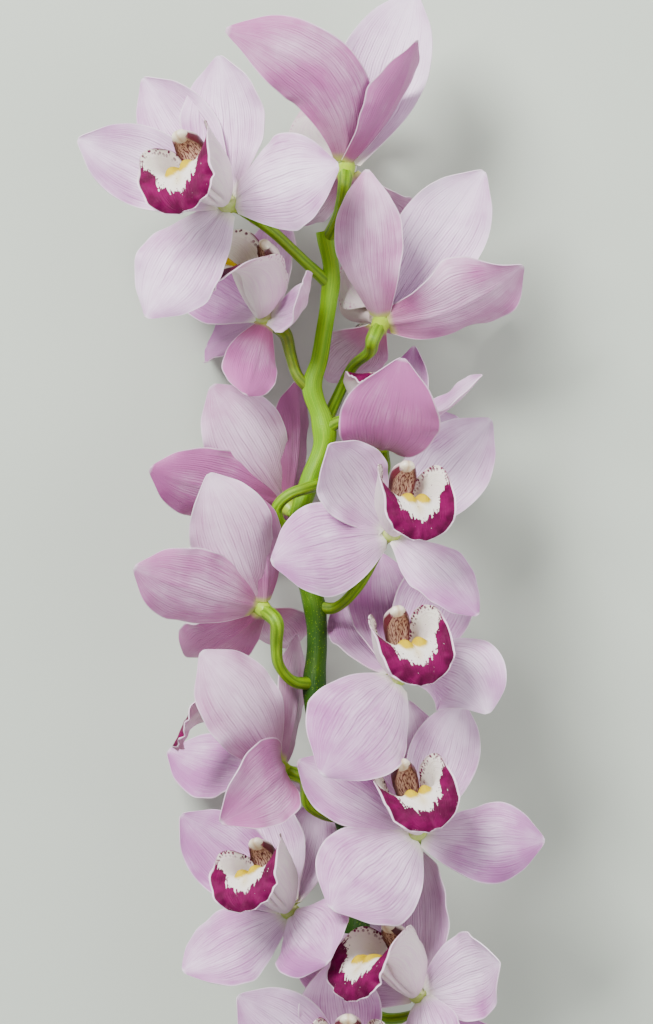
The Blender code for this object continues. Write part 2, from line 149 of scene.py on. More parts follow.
BLOOMS: dict[str, Bloom] = {
    "a": Bloom(
        hub=(8, 144, 6), facing=(0.05, 0.6, -0.8), up=(-0.66, -0.58, -0.48), size=1.05,
        dorsal=Tepal((37, 219, 2), 38, -0.03, 0.2, inner=(-0.2, -0.2, 1), tint=Tint.PALE),
        left_petal=Tepal(
            (-42, 201, 36), 36, -0.1, 0.15, inner=(0.2, 0.2, -1), sway=-0.24, tint=Tint.DEEP
        ),
        right_petal=Tepal((38, 197, 30), 28, -0.06, 0.3, inner=(-0.9, 0.1, -0.6), tint=Tint.MAUVE),
        left_sepal=Tepal((-32, 122, -40), 32, -0.06, 0.2, tint=Tint.SOFT),
        right_sepal=Tepal((32, 116, -44), 32, -0.1, 0.2, tint=Tint.SOFT),
        stalk=[(0, 114, 0), (5, 125, 8)],
    ),
    "b": Bloom(
        hub=(22.6, 79, 8), facing=(0.28, 0.6, -0.8), up=(-0.88, -0.26, -0.41), size=1.0,
        dorsal=Tepal((66, 143, 6), 38, -0.03, 0.2, inner=(-0.2, -0.2, 1), tint=Tint.PALE),
        left_petal=Tepal((17, 143, 30), 30, -0.1, 0.15, inner=(0.4, 0.2, -1)),
        right_petal=Tepal(
            (82, 103, 26), 39, -0.05, 0.2, inner=(-0.2, 0.5, -1), twist=20, sway=-0.07, wave=0.26
        ),
        left_sepal=Tepal((1, 55, -40), 30, -0.04, 0.2, inner=(0, 0.6, -1)),
        right_sepal=Tepal((70, 91, -40), 32, -0.06, 0.2, tint=Tint.SOFT),
        stalk=[(-2, 34, 0), (4, 47, -10), (11, 61, -6), (18, 67, 8)],
    ),
    "c": Bloom(
        hub=(-41, 129, 30), facing=(-0.44, 0.17, 0.88), up=(-0.31, 0.89, -0.33), size=1.1,
        dorsal=Tepal((-77, 182, 6), 34, -0.06, 0.25, tint=Tint.SOFT),
        left_petal=Tepal((-104, 156, 20), 34, -0.05, 0.2, tint=Tint.SOFT),
        right_petal=Tepal((-45, 191, 18), 38, -0.06, 0.2, tint=Tint.SOFT),
        left_sepal=Tepal((-75, 81, 38), 40, 0.08, -0.15, tint=Tint.SOFT),
        right_sepal=Tepal((5, 144, 52), 42, 0.12, -0.25, tint=Tint.SOFT),
        stalk=[(2, 95, 0), (-9, 105, 4), (-23, 118, 10)],
    ),
    "d": Bloom(
        hub=(-25, 81, 4), facing=(-0.55, 0.45, 0.55), up=(0.63, 0.78, 0), size=1.0,
        dorsal=Tepal((-23, 125, -20), 28, -0.08, 0.25),
        left_petal=Tepal((-66, 105, -36), 30, -0.08, 0.25, tint=Tint.DEEP),
        right_petal=Tepal((-10, 95, 54), 28, -0.14, 0.25),
        left_sepal=Tepal((-51, 70, -50), 30, 0, 0.2, tint=Tint.MAUVE),
        right_sepal=Tepal((-34, 49, 28), 25, 0.05, 0.2, inner=(-0.2, 0.2, -1), tint=Tint.MAUVE),
        stalk=[(-6, 51, 0), (-12, 57, 0), (-15, 66, -4)],
        tone=StalkTone.OLIVE,
    ),
    "e": Bloom(
        hub=(-17, 3, -8), facing=(-0.5, 0.5, -0.55), up=(0.6, -0.4, -0.65), size=1.0,
        dorsal=Tepal((-13, 55, -12), 26, -0.06, 0.25, inner=(-0.8, 0.1, -0.6), tint=Tint.MAUVE),
        left_petal=Tepal((-48, 53, 16), 36, -0.05, 0.2, inner=(-0.2, 0, -1), tint=Tint.SOFT),
        right_petal=Tepal((-74, 18, 18), 34, -0.04, 0.2, inner=(-0.1, 0.4, -1), tint=Tint.MAUVE),
        left_sepal=Tepal((-44, -26, -46), 28, -0.05, 0.2, inner=(-0.3, 0.6, -0.6), tint=Tint.DEEP),
        right_sepal=Tepal((19, -20, -46), 28, 0, 0.2, inner=(0, 0.7, -0.6), tint=Tint.DEEP),
        stalk=[(-1, 12, 0), (-8, 10, 11), (-16, 7, 13), (-21, 1, 11), (-18, -6, 8)],
    ),
    "f": Bloom(
        hub=(-27, -40, 16), facing=(-0.5, 0.5, -0.7), up=(0.3, 0.86, 0.4), size=0.94,
        dorsal=Tepal((-31, 9, 20), 24, -0.11, 0.25, inner=(-0.6, 0.1, -0.8), tint=Tint.DEEP),
        left_petal=Tepal((-49, 16, 42), 36, -0.06, 0.2, inner=(-0.2, 0, -1), wave=0.24, tint=Tint.SOFT),
        right_petal=Tepal((-80, -23, 48), 36, -0.06, 0.2, inner=(-0.1, 0.4, -1), tint=Tint.DEEP),
        left_sepal=Tepal((-59, -61, -14), 34, -0.08, 0.2, inner=(-0.2, 0.7, -0.7), tint=Tint.MAUVE),
        right_sepal=Tepal((-15, -58, -45), 30, -0.01, 0.2, inner=(0, 0.7, -1), tint=Tint.DEEP),
        stalk=[(-5, -72, 0), (-14, -71, 8), (-20, -64, 14), (-21, -55, 18)],
    ),
    "g": Bloom(
        hub=(27, -9, 24), facing=(0.28, 0.22, 0.93), up=(-0.02, 0.97, -0.23), size=1.0,
        dorsal=Tepal((57, 30, -10), 28, -0.05, 0.25),
        left_petal=Tepal((1, 28, 50), 34, -0.12, 0.25, inner=(0.5, -0.2, 0.8), tint=Tint.SOFT),
        right_petal=Tepal((69, 39, 0), 36, -0.08, 0.2, tint=Tint.SOFT),
        left_sepal=Tepal((-23, -21, 42), 40, 0.1, -0.2),
        right_sepal=Tepal((63, -43, 41), 29, 0.1, -0.2, inner=(0.5, 0.2, 0.8)),
        stalk=[(-6, -39, 0), (4, -40, 3), (14, -30, 13)],
    ),
    "h": Bloom(
        hub=(23, 28, 2), facing=(-0.05, 0.93, 0.35), up=(-0.22, 0.33, -0.92), size=0.77,
        dorsal=Tepal((37, 70, -20), 22, -0.16, 0.2, inner=(-0.4, 0, 1)),
        left_petal=Tepal((3, 20, -42), 26, 0.05, 0.2),
        right_petal=Tepal((65, 57, 26), 24, -0.05, 0.3, inner=(0, 0.8, 0.4)),
        left_sepal=Tepal(
            (31.5, 64, 48), 42, -0.24, -0.1, inner=(0, 0.3, -1), wave=0.16, tint=Tint.MAUVE
        ),
        right_sepal=Tepal((56, 40, -50), 24, -0.02, 0.2, inner=(0, 0.3, 0.9)),
        stalk=[(-1, 34, 0), (7, 38, 4), (12, 29, 8), (17, 18, 5)],
    ),
    "i": Bloom(
        hub=(30, -69, 24), facing=(0.2, 0.22, 0.95), up=(-0.24, 0.95, -0.2), size=1.0,
        dorsal=Tepal((22, -17, -14), 34, -0.05, 0.25, tint=Tint.DEEP),
        left_petal=Tepal((7, -36, -18), 32, -0.05, 0.2),
        right_petal=Tepal((56, -17, 0), 34, -0.05, 0.2),
        left_sepal=Tepal((-2, -109, 62), 47, 0.11, -0.2),
        right_sepal=Tepal((67, -84, 42), 37, 0.08, -0.2, sway=-0.26, tint=Tint.SOFT),
        stalk=[(-3, -84, 0), (8, -81, -4), (20, -76, 4)],
    ),
    "j": Bloom(
        hub=(38, -134, 26), facing=(0.06, 0.32, 0.95), up=(-0.34, 0.9, -0.27), size=1.0,
        dorsal=Tepal((34, -79, 8), 30, -0.05, 0.25, tint=Tint.SOFT),
        left_petal=Tepal((-12, -104, 24), 30, -0.05, 0.2),
        right_petal=Tepal((57, -79, 14), 30, -0.05, 0.2, tint=Tint.SOFT),
        left_sepal=Tepal((2, -165, 54), 48, 0.06, -0.2),
        right_sepal=Tepal(
            (91, -137, 34), 35, 0.06, -0.15, inner=(0, 0.6, 0.8), twist=45, sway=0.08, wave=0.2
        ),
        stalk=[(12, -150, 0), (20, -150, -1), (30, -143, 7)],
    ),
    "k": Bloom(
        hub=(-20, -107, 14), facing=(-0.85, 0.42, -0.1), up=(0.45, 0.84, -0.3), size=1.0,
        dorsal=Tepal((-12, -52, -22), 28, -0.05, 0.15, inner=(-0.9, 0, -0.4)),
        left_petal=Tepal((-67, -101, -38), 36, -0.1, 0.2, inner=(-0.2, 0.5, 0.8), tint=Tint.DEEP),
        right_petal=Tepal((-52, -58, 52), 38, -0.1, 0.2, inner=(-0.3, -0.2, -1), tint=Tint.SOFT),
        left_sepal=Tepal((-4, -119, -44), 30, 0, 0.2, inner=(0, 0.6, -0.8), tint=Tint.DEEP),
        right_sepal=Tepal(
            (-44, -129, 56), 36, -0.25, -0.2, inner=(0, 0.3, -1), sway=-0.1, tint=Tint.DEEP
        ),
        stalk=[(8, -128, 0), (-1, -127, 6), (-8, -122, 11)],
    ),
    "l": Bloom(
        hub=(-15, -167, 18), facing=(-0.45, 0.3, 0.84), up=(-0.14, 0.91, -0.39), size=1.0,
        dorsal=Tepal((-32, -117, -6), 34, -0.05, 0.25, tint=Tint.SOFT),
        left_petal=Tepal((-61, -127, 6), 34, -0.05, 0.2),
        right_petal=Tepal((-5, -121, -20), 30, -0.05, 0.2, tint=Tint.SOFT),
        left_sepal=Tepal((-60, -192, 24), 36, 0.03, -0.2),
        right_sepal=Tepal((1, -187, 56), 38, 0.1, -0.2),
        stalk=[(13, -176, 0), (1, -174, -1)],
    ),
    "m": Bloom(
        hub=(39, -202, 24), facing=(-0.64, 0.26, 0.73), up=(0.12, 0.96, -0.23), size=1.0,
        dorsal=Tepal((38, -141, 6), 36, -0.05, 0.25, tint=Tint.SOFT),
        left_petal=Tepal((8, -169, -30), 28, -0.05, 0.2),
        right_petal=Tepal((72, -187, 62), 38, -0.1, 0.2, inner=(-0.5, 0, 0.8), tint=Tint.SOFT),
        left_sepal=Tepal((-16, -185, 8), 32, -0.1, 0.2),
        right_sepal=Tepal((50, -247, 66), 40, 0.1, -0.2),
        stalk=[(10, -205, 0), (25, -213, -8), (41, -210, 0)],
    ),
    "n": Bloom(
        hub=(9, -237, 20), facing=(0, 0.05, 1), up=(0, 1, 0), size=1.05,
        dorsal=Tepal((3, -187, 26), 36, -0.06, 0.3, tint=Tint.SOFT),
        left_petal=Tepal((-37, -202, 30), 34, -0.05, 0.2, tint=Tint.SOFT),
        right_petal=Tepal((71, -217, 18), 32, -0.05, 0.2),
        left_sepal=Tepal((-17, -285, 40), 36, 0.08, -0.2, tint=Tint.SOFT),
        right_sepal=Tepal((39, -287, 38), 36, 0.08, -0.2, tint=Tint.SOFT),
        stalk=[(7, -247, -3)],
    ),
}
SCAPE_ROUTE: list[Point] = [
    (-1, 118, 0), (2, 102, 0), (1, 89, 0), (-1, 76, 0), (-3, 64, 0), (-6, 52, 0), (-2, 39, 0),
    (-1, 29, 0), (-7, 13, 0), (-12, -5, 0), (-10, -22, 0), (-5, -40, 0), (-4, -56, 0), (-5, -75, 0),
    (-1, -94, 0), (7, -113, 0), (8, -127, 0), (12, -142, 0), (13, -163, 0), (12, -188, 0), (9, -222, -3),
    (5, -289, -15), (3, -373, -37), (2, -425, -45.2), (1, -474, -45.8),
]

TEPAL_NAMES = ("dorsal", "left_petal", "right_petal", "left_sepal", "right_sepal")
FINISHES: dict[Skin, bpy.types.Material] = {}


def unit(vector: Array) -> Array:
    """The vector, or each row of vectors, at length 1."""
    vector = np.asarray(vector, float)
    return vector / np.linalg.norm(vector, axis=-1, keepdims=True)


def placed(points: Array) -> Array:
    """Layout points in millimetres as world points in metres."""
    return (np.asarray(points, float) - (*MIDDLE, -AXIS_OVER_TABLE)) * MM


def ease(value: Array, low: float, high: float) -> Array:
    """A smooth step from 0 at low to 1 at high, or the other way round where low is the larger."""
    share = np.clip((value - low) / (high - low), 0, 1)
    return share * share * (3 - 2 * share)


def along(values: Sequence[float], share: Array) -> Array:
    """The value at a share of the way along evenly spaced values."""
    return np.interp(share, np.linspace(0, 1, len(values)), values)


def smooth_route(points: Sequence[Sequence[float]], share: Array) -> Array:
    """Points on a smooth curve through the knots (Catmull-Rom).

    Args:
        points: the knots, one to a row.
        share: shares of the way along the curve.

    Returns:
        One point to each share.
    """
    knots = np.asarray(points, float)
    knots = np.vstack([2 * knots[0] - knots[1], knots, 2 * knots[-1] - knots[-2]])
    step = np.clip(share, 0, 1) * (len(knots) - 3)
    low = np.minimum(step.astype(int), len(knots) - 4)
    part = (step - low)[..., None]
    before, start, end, after = (knots[low + offset] for offset in range(4))
    return 0.5 * (
        2 * start
        + (end - before) * part
        + (2 * before - 5 * start + 4 * end - after) * part**2
        + (3 * start - before - 3 * end + after) * part**3
    )


def flowing(value: Array, stations: Sequence[float], levels: Sequence[float]) -> Array:
    """The level at a value, on a smooth curve through levels at uneven stations.

    Args:
        value: where the level is wanted.
        stations: where the levels are given, in rising order.
        levels: one level to each station.

    Returns:
        One level to each value.
    """
    at = np.asarray(stations, float)
    level = np.asarray(levels, float)
    slope = np.gradient(level, at)
    low = np.clip(np.searchsorted(at, value, side="right") - 1, 0, len(at) - 2)
    gap = at[low + 1] - at[low]
    part = np.clip((value - at[low]) / gap, 0, 1)
    return (
        (2 * part**3 - 3 * part**2 + 1) * level[low]
        + (part**3 - 2 * part**2 + part) * gap * slope[low]
        + (3 * part**2 - 2 * part**3) * level[low + 1]
        + (part**3 - part**2) * gap * slope[low + 1]
    )


def deselect_all() -> None:
    """Leaves nothing selected, so that the next operator acts on the new piece alone."""
    bpy.ops.object.select_all(action="DESELECT")


def pick(piece: bpy.types.Object) -> None:
    """Selects one piece alone, for the next operator.

    Args:
        piece: the piece.
    """
    deselect_all()
    piece.select_set(True)
    bpy.context.view_layer.objects.active = piece


def read_points(piece: bpy.types.Object) -> Array:
    """The places of a mesh's points.

    Args:
        piece: the piece.

    Returns:
        One place to a row.
    """
    places = np.empty(len(piece.data.vertices) * 3)
    piece.data.vertices.foreach_get("co", places)
    return places.reshape(-1, 3)


def write_points(piece: bpy.types.Object, places: Array) -> None:
    """Moves a mesh's points to their places, one to a row."""
    piece.data.vertices.foreach_set("co", places.ravel())
    piece.data.update()


def laid_grid(name: str, cells: tuple[int, int], surface: Surface) -> bpy.types.Object:
    """A grid laid on a formula's surface.

    Args:
        name: the piece's name.
        cells: cells along and across.
        surface: gives layout points from shares 0 to 1 along and sides -1 to 1 across.

    Returns:
        The grid's object, at the origin, with its UV map running along and across it.
    """
    deselect_all()
    bpy.ops.mesh.primitive_grid_add(x_subdivisions=cells[0], y_subdivisions=cells[1], size=2)
    piece = bpy.context.object
    piece.name = name
    flat = read_points(piece)
    write_points(piece, placed(surface((flat[:, 0] + 1) / 2, flat[:, 1])))
    return piece


def face_corners(piece: bpy.types.Object) -> Array:
    """The number of the point that each corner of each face stands on.

    Args:
        piece: the piece.

    Returns:
        One number to a corner.
    """
    corners = np.empty(len(piece.data.loops), int)
    piece.data.loops.foreach_get("vertex_index", corners)
    return corners


def read_grid(piece: bpy.types.Object) -> tuple[Array, Array]:
    """The share and side of each point, from the piece's UV map.

    Args:
        piece: a piece made by laid_grid.

    Returns:
        Shares 0 to 1 along it, and sides -1 to 1 across it.
    """
    flat = np.empty(len(piece.data.loops) * 2)
    piece.data.uv_layers.active.data.foreach_get("uv", flat)
    flat = flat.reshape(-1, 2)
    corners = face_corners(piece)
    share, side = np.empty((2, len(piece.data.vertices)))
    share[corners] = flat[:, 0]
    side[corners] = 2 * flat[:, 1] - 1
    return share, side


def write_grid(piece: bpy.types.Object, share: Array, side: Array) -> None:
    """Sets the piece's UV map.

    Args:
        piece: a piece made by laid_grid.
        share: the share of each point, 0 to 1 along the piece.
        side: the side of each point, -1 to 1 across it.
    """
    corners = face_corners(piece)
    flat = np.stack([share[corners], (side[corners] + 1) / 2], axis=1)
    piece.data.uv_layers.active.data.foreach_set("uv", flat.ravel())


def write_layers(piece: bpy.types.Object, **layers: Union[Array, float]) -> None:
    """Keeps numbers for each point of the mesh, which a finish can read.

    Args:
        piece: the piece.
        layers: each layer's name and its numbers, or one number for all points.
    """
    for name, values in layers.items():
        layer = piece.data.attributes.new(name, "FLOAT", "POINT")
        spread = np.broadcast_to(values, len(piece.data.vertices))
        layer.data.foreach_set("value", spread.astype(np.float32))


def give_wall(piece: bpy.types.Object, thickness: float, weight: Array, thinnest: float) -> None:
    """Thickens a sheet to both sides, less towards its margin.

    Args:
        piece: the sheet. Its second material goes on the side that the wall adds.
        thickness: the wall where the weight is 1, in millimetres.
        weight: one number from 0 to 1 for each point.
        thinnest: the share of the thickness where the weight is 0.
    """
    group = piece.vertex_groups.new(name="wall")
    steps = np.round(weight, 1)
    for step in np.unique(steps):
        group.add(np.flatnonzero(steps == step).tolist(), float(step), "REPLACE")
    wall = piece.modifiers.new("wall", "SOLIDIFY")
    wall.thickness = thickness * MM
    wall.offset = 0
    wall.vertex_group = group.name
    wall.thickness_vertex_group = thinnest
    wall.material_offset = 1
    pick(piece)
    bpy.ops.object.modifier_apply(modifier=wall.name)
    piece.vertex_groups.clear()


def smooth(piece: bpy.types.Object, sharpest: float = 50.0) -> None:
    """Shades a piece smooth, but for edges sharper than an angle in degrees."""
    pick(piece)
    bpy.ops.object.shade_smooth_by_angle(angle=np.radians(sharpest))


def close_seams(piece: bpy.types.Object) -> None:
    """Merges the seam and the poles of a rolled grid, and turns its faces outwards.

    Args:
        piece: the rolled grid.
    """
    pick(piece)
    bpy.ops.object.mode_set(mode="EDIT")
    bpy.ops.mesh.select_all(action="SELECT")
    bpy.ops.mesh.remove_doubles(threshold=1e-6)
    bpy.ops.mesh.normals_make_consistent(inside=False)
    bpy.ops.object.mode_set(mode="OBJECT")


def paint(piece: bpy.types.Object, *skins: Skin) -> None:
    """Gives a piece its finishes. A sheet gets two before its wall: its own side's, then the other's."""
    for skin in skins:
        piece.data.materials.append(FINISHES[skin])


def dress(piece: bpy.types.Object, node: str) -> None:
    """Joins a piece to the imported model.

    Args:
        piece: the finished piece.
        node: the node that it stands for.
    """
    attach(piece, BODY)
    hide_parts(node)


class Recipe:
    """A material's node graph, put together step by step."""

    def __init__(self, name: str) -> None:
        """Starts a material from a plain shader.

        Args:
            name: the material's name.
        """
        self.material = bpy.data.materials.new(name)
        self.material.use_nodes = True
        self.tree = self.material.node_tree
        self.shader = self.tree.nodes["Principled BSDF"]
        self.place = self.node("ShaderNodeTexCoord").outputs["Object"]

    def node(self, kind: str, **settings: str) -> bpy.types.Node:
        """A new node.

        Args:
            kind: the node's type.
            settings: the node's own settings.

        Returns:
            The node.
        """
        made = self.tree.nodes.new(kind)
        for key, value in settings.items():
            setattr(made, key, value)
        return made

    def feed(self, socket: Socket, value: Value) -> None:
        """Links an output to a socket, or sets the socket's own value.

        Args:
            socket: the input.
            value: an output, a number or a colour.
        """
        if isinstance(value, bpy.types.NodeSocket):
            self.tree.links.new(value, socket)
        elif isinstance(value, tuple) and socket.type == "RGBA":
            socket.default_value = (*value, 1)
        else:
            socket.default_value = value

    def math(self, operation: str, first: Value, second: Value = 0.0, third: Value = 0.0) -> Socket:
        """The result of a Math node.

        Args:
            operation: what it does.
            first: its first number.
            second: its second number.
            third: its third number.

        Returns:
            The output.
        """
        made = self.node("ShaderNodeMath", operation=operation)
        for socket, value in zip(made.inputs, (first, second, third)):
            self.feed(socket, value)
        return made.outputs[0]

    def times(self, first: Value, second: Value) -> Socket:
        """The product of two numbers."""
        return self.math("MULTIPLY", first, second)

    def larger(self, first: Value, second: Value) -> Socket:
        """The larger of two numbers."""
        return self.math("MAXIMUM", first, second)

    def stray(self, noise: Socket, amount: float, value: Value) -> Socket:
        """A value that noise round 0.5 carries up and down by an amount."""
        return self.math("MULTIPLY_ADD", self.math("SUBTRACT", noise, 0.5), amount, value)

    def ease(self, value: Value, low: float, high: float, top: float = 1.0) -> Socket:
        """A smooth step.

        Args:
            value: the number that it follows.
            low: where it is 0. It may be the larger of the two.
            high: where it reaches the top.
            top: its highest value.

        Returns:
            The output.
        """
        made = self.node("ShaderNodeMapRange", interpolation_type="SMOOTHSTEP")
        start, end = (0.0, top) if low < high else (top, 0.0)
        for number, given in enumerate((value, min(low, high), max(low, high), start, end)):
            self.feed(made.inputs[number], given)
        return made.outputs[0]

    def mix(self, share: Value, first: Value, second: Value) -> Socket:
        """One colour blended into another.

        Args:
            share: how much of the second shows, 0 to 1.
            first: the first colour.
            second: the second colour.

        Returns:
            The output.
        """
        made = self.node("ShaderNodeMix", data_type="RGBA")
        for number, given in ((0, share), (6, first), (7, second)):
            self.feed(made.inputs[number], given)
        return made.outputs[2]

    def layer(self, name: str) -> Socket:
        """A number that the piece keeps for each point."""
        return self.node("ShaderNodeAttribute", attribute_name=name).outputs["Fac"]

    def noise(self, place: Socket, scale: float, detail: float) -> Socket:
        """Noise round 0.5.

        Args:
            place: where it is read.
            scale: its cells to a unit of the place.
            detail: its finer octaves.

        Returns:
            The output.
        """
        made = self.node("ShaderNodeTexNoise")
        for key, given in (("Vector", place), ("Scale", scale), ("Detail", detail)):
            self.feed(made.inputs[key], given)
        return made.outputs["Fac"]

    def grain(
        self,
        first: tuple[Socket, float],
        second: tuple[Socket, float],
        third: Value,
        scale: float,
        detail: float,
    ) -> Socket:
        """Noise that follows a piece's own map, drawn out along it.

        Args:
            first: a number of the map, and its beats from 0 to 1.
            second: the other number of the map, and its beats.
            third: what tells this noise from others on the same map.
            scale: its cells to a beat.
            detail: its finer octaves.

        Returns:
            The output.
        """
        made = self.node("ShaderNodeCombineXYZ")
        for socket, value in zip(made.inputs, (self.times(*first), self.times(*second), third)):
            self.feed(socket, value)
        return self.noise(made.outputs[0], scale, detail)

    def spots(self, scale: float) -> Socket:
        """Distance from the nearest of many scattered points.

        Args:
            scale: the points to a metre.

        Returns:
            The output, in cells.
        """
        made = self.node("ShaderNodeTexVoronoi")
        self.feed(made.inputs["Vector"], self.place)
        self.feed(made.inputs["Scale"], scale)
        return made.outputs["Distance"]

    def grid_position(self) -> tuple[Socket, Socket]:
        """Where a point is on the piece's own map.

        Returns:
            The share along, 0 to 1, and the side across, -1 to 1.
        """
        parts = self.node("ShaderNodeSeparateXYZ")
        self.feed(parts.inputs[0], self.node("ShaderNodeUVMap").outputs[0])
        return parts.outputs[0], self.math("MULTIPLY_ADD", parts.outputs[1], 2.0, -1.0)

    def bump(self, height: Socket, depth: float, strength: float) -> None:
        """Relief.

        Args:
            height: what it follows.
            depth: its depth in millimetres.
            strength: how much of it shows, 0 to 1.
        """
        made = self.node("ShaderNodeBump")
        for key, given in (("Strength", strength), ("Distance", depth * MM), ("Height", height)):
            self.feed(made.inputs[key], given)
        self.feed(self.shader.inputs["Normal"], made.outputs[0])

    def flesh(
        self,
        colour: Socket,
        roughness: float,
        glow: float,
        sheen: float = 0.0,
        coat: float = 0.0,
        gloss: float = 0.5,
    ) -> bpy.types.Material:
        """Sets the shader up as waxy plant tissue.

        Args:
            colour: the output that gives its colour.
            roughness: the skin's roughness.
            glow: how much light passes under the skin.
            sheen: the soft light of the skin's fine cells.
            coat: the wax over it.
            gloss: how strongly the skin mirrors light.

        Returns:
            The finished material.
        """
        self.feed(self.shader.inputs["Base Color"], colour)
        for key, value in (
            ("Roughness", roughness),
            ("Specular IOR Level", gloss),
            ("Subsurface Weight", glow),
            ("Subsurface Radius", (0.8, 0.6, 0.8)),
            ("Subsurface Scale", 1.5 * MM),
            ("Sheen Weight", sheen),
            ("Coat Weight", coat),
            ("Coat Roughness", 0.35),
        ):
            self.shader.inputs[key].default_value = value
        return self.material


@dataclass(frozen=True)
class TepalFinish:
    """One face of the tepals: lilac skin with lengthwise veins that run together at root and tip.

    In all finishes a scale is in cells to a metre, and relief is in millimetres.
    """

    pale: Colour
    deep: Colour
    vein: Colour
    root: Colour
    flush: Colour
    vein_strength: float
    flush_strength: float
    root_reach: float
    flank: float
    margin: Colour = (0.93, 0.84, 0.90)
    veins: float = 5.5
    mottling: float = 1.7
    streaking: float = 0.8
    mottle_scale: float = 42
    wander_scale: float = 70
    cell_scale: float = 2600
    relief: float = 0.28
    roughness: float = 0.48
    glow: float = 0.12
    sheen: float = 0.1

    def build(self, name: str) -> bpy.types.Material:
        """Makes the material.

        Args:
            name: its name.

        Returns:
            The material.
        """
        mix = Recipe(name)
        share, side = mix.grid_position()
        off_middle = mix.math("ABSOLUTE", side)
        mottle = mix.noise(mix.place, self.mottle_scale, 4)
        wander = mix.noise(mix.place, self.wander_scale, 1)
        streaks = mix.grain((share, 3.0), (side, 22.0), mottle, 1.6, 4)

        lines = mix.math("MULTIPLY_ADD", side, self.veins, mix.times(wander, 0.9))
        main_vein = mix.ease(mix.math("PINGPONG", lines, 0.5), 0.13, 0.0)
        fine_vein = mix.ease(mix.math("PINGPONG", mix.times(lines, 3.0), 0.5), 0.36, 0.0, 0.5)
        reach = mix.times(mix.ease(share, 1.0, 0.55), mix.ease(off_middle, 1.0, 0.70))
        broken = mix.times(reach, mix.ease(streaks, 0.20, 0.62))
        vein = mix.times(mix.larger(main_vein, fine_vein), broken)

        blush = mix.stray(mottle, self.mottling, mix.layer("blush"))
        blush = mix.stray(streaks, self.streaking, blush)
        blush = mix.math("ADD", blush, mix.ease(off_middle, 0.1, 0.7, self.flank))
        colour = mix.mix(mix.ease(blush, -0.15, 1.15), self.pale, self.deep)
        flush = mix.times(mix.ease(share, 0.42, 0.08), mix.layer("flush"))
        colour = mix.mix(mix.times(flush, self.flush_strength), colour, self.flush)
        colour = mix.mix(mix.times(vein, self.vein_strength), colour, self.vein)
        colour = mix.mix(mix.ease(share, self.root_reach, 0.0), colour, self.root)
        edge = mix.larger(mix.ease(off_middle, 0.955, 0.995, 0.5), mix.ease(share, 0.975, 0.998, 0.5))
        colour = mix.mix(edge, colour, self.margin)

        cells = mix.noise(mix.place, self.cell_scale, 1)
        relief = mix.math("MULTIPLY_ADD", cells, 0.16, mix.times(streaks, 0.7))
        mix.bump(mix.math("MULTIPLY_ADD", vein, -0.8, relief), self.relief, 0.8)
        return mix.flesh(colour, self.roughness, self.glow, sheen=self.sheen)


@dataclass(frozen=True)
class LipFinish:
    """The lip's upper face: white throat, magenta band in a pale margin, yellow keels and dots."""

    white: Colour = (0.88, 0.83, 0.73)
    throat: Colour = (0.84, 0.76, 0.52)
    magenta: Colour = (0.085, 0.0, 0.03)
    bright: Colour = (0.17, 0.0, 0.065)
    margin: Colour = (0.90, 0.70, 0.83)
    yellow: Colour = (0.60, 0.42, 0.0)
    fine_scale: float = 900
    cloud_scale: float = 160
    dot_scale: float = 620
    relief: float = 0.5
    roughness: float = 0.55
    gloss: float = 0.12

    def build(self, name: str) -> bpy.types.Material:
        """Makes the material.

        Args:
            name: its name.

        Returns:
            The material.
        """
        mix = Recipe(name)
        share, side = mix.grid_position()
        fringe = mix.grain((side, 7.0), (share, 6.0), 0.3, 2.2, 4)
        rays = mix.grain((side, 17.0), (share, 3.0), 0.9, 1.0, 3)
        fine = mix.noise(mix.place, self.fine_scale, 3)
        cloud = mix.noise(mix.place, self.cloud_scale, 3)
        dots = mix.spots(self.dot_scale)

        # The band's inner border is frayed by three noises, from broad to fine
        frayed = mix.stray(fringe, 1.2, mix.layer("band"))
        frayed = mix.stray(rays, 1.6, frayed)
        frayed = mix.stray(fine, 0.8, frayed)
        band = mix.ease(frayed, 0.42, 0.58)
        speckles = mix.times(mix.ease(frayed, 0.10, 0.45), mix.ease(dots, 0.34, 0.22))
        lobe_dots = mix.times(mix.layer("dotted"), mix.ease(dots, 0.50, 0.34))
        outline = mix.times(mix.layer("outline"), mix.ease(fringe, 0.40, 0.55))
        purple = mix.larger(band, mix.larger(speckles, mix.larger(lobe_dots, outline)))

        base = mix.mix(mix.layer("throat"), self.white, self.throat)
        base = mix.mix(mix.ease(cloud, 0.35, 0.75, 0.25), base, self.margin)
        rich = mix.mix(mix.ease(cloud, 0.30, 0.70), self.magenta, self.bright)
        colour = mix.mix(purple, base, rich)
        colour = mix.mix(mix.layer("keel"), colour, self.yellow)
        margin = mix.ease(mix.stray(fringe, 0.8, mix.layer("rim")), 1.0, 0.5)
        colour = mix.mix(mix.times(margin, mix.layer("front")), colour, self.margin)

        ribs = mix.grain((side, 34.0), (share, 5.0), 0.7, 1.0, 3)
        mix.bump(mix.math("MULTIPLY_ADD", fine, 0.3, ribs), self.relief, 0.7)
        return mix.flesh(colour, self.roughness, 0.0, gloss=self.gloss)


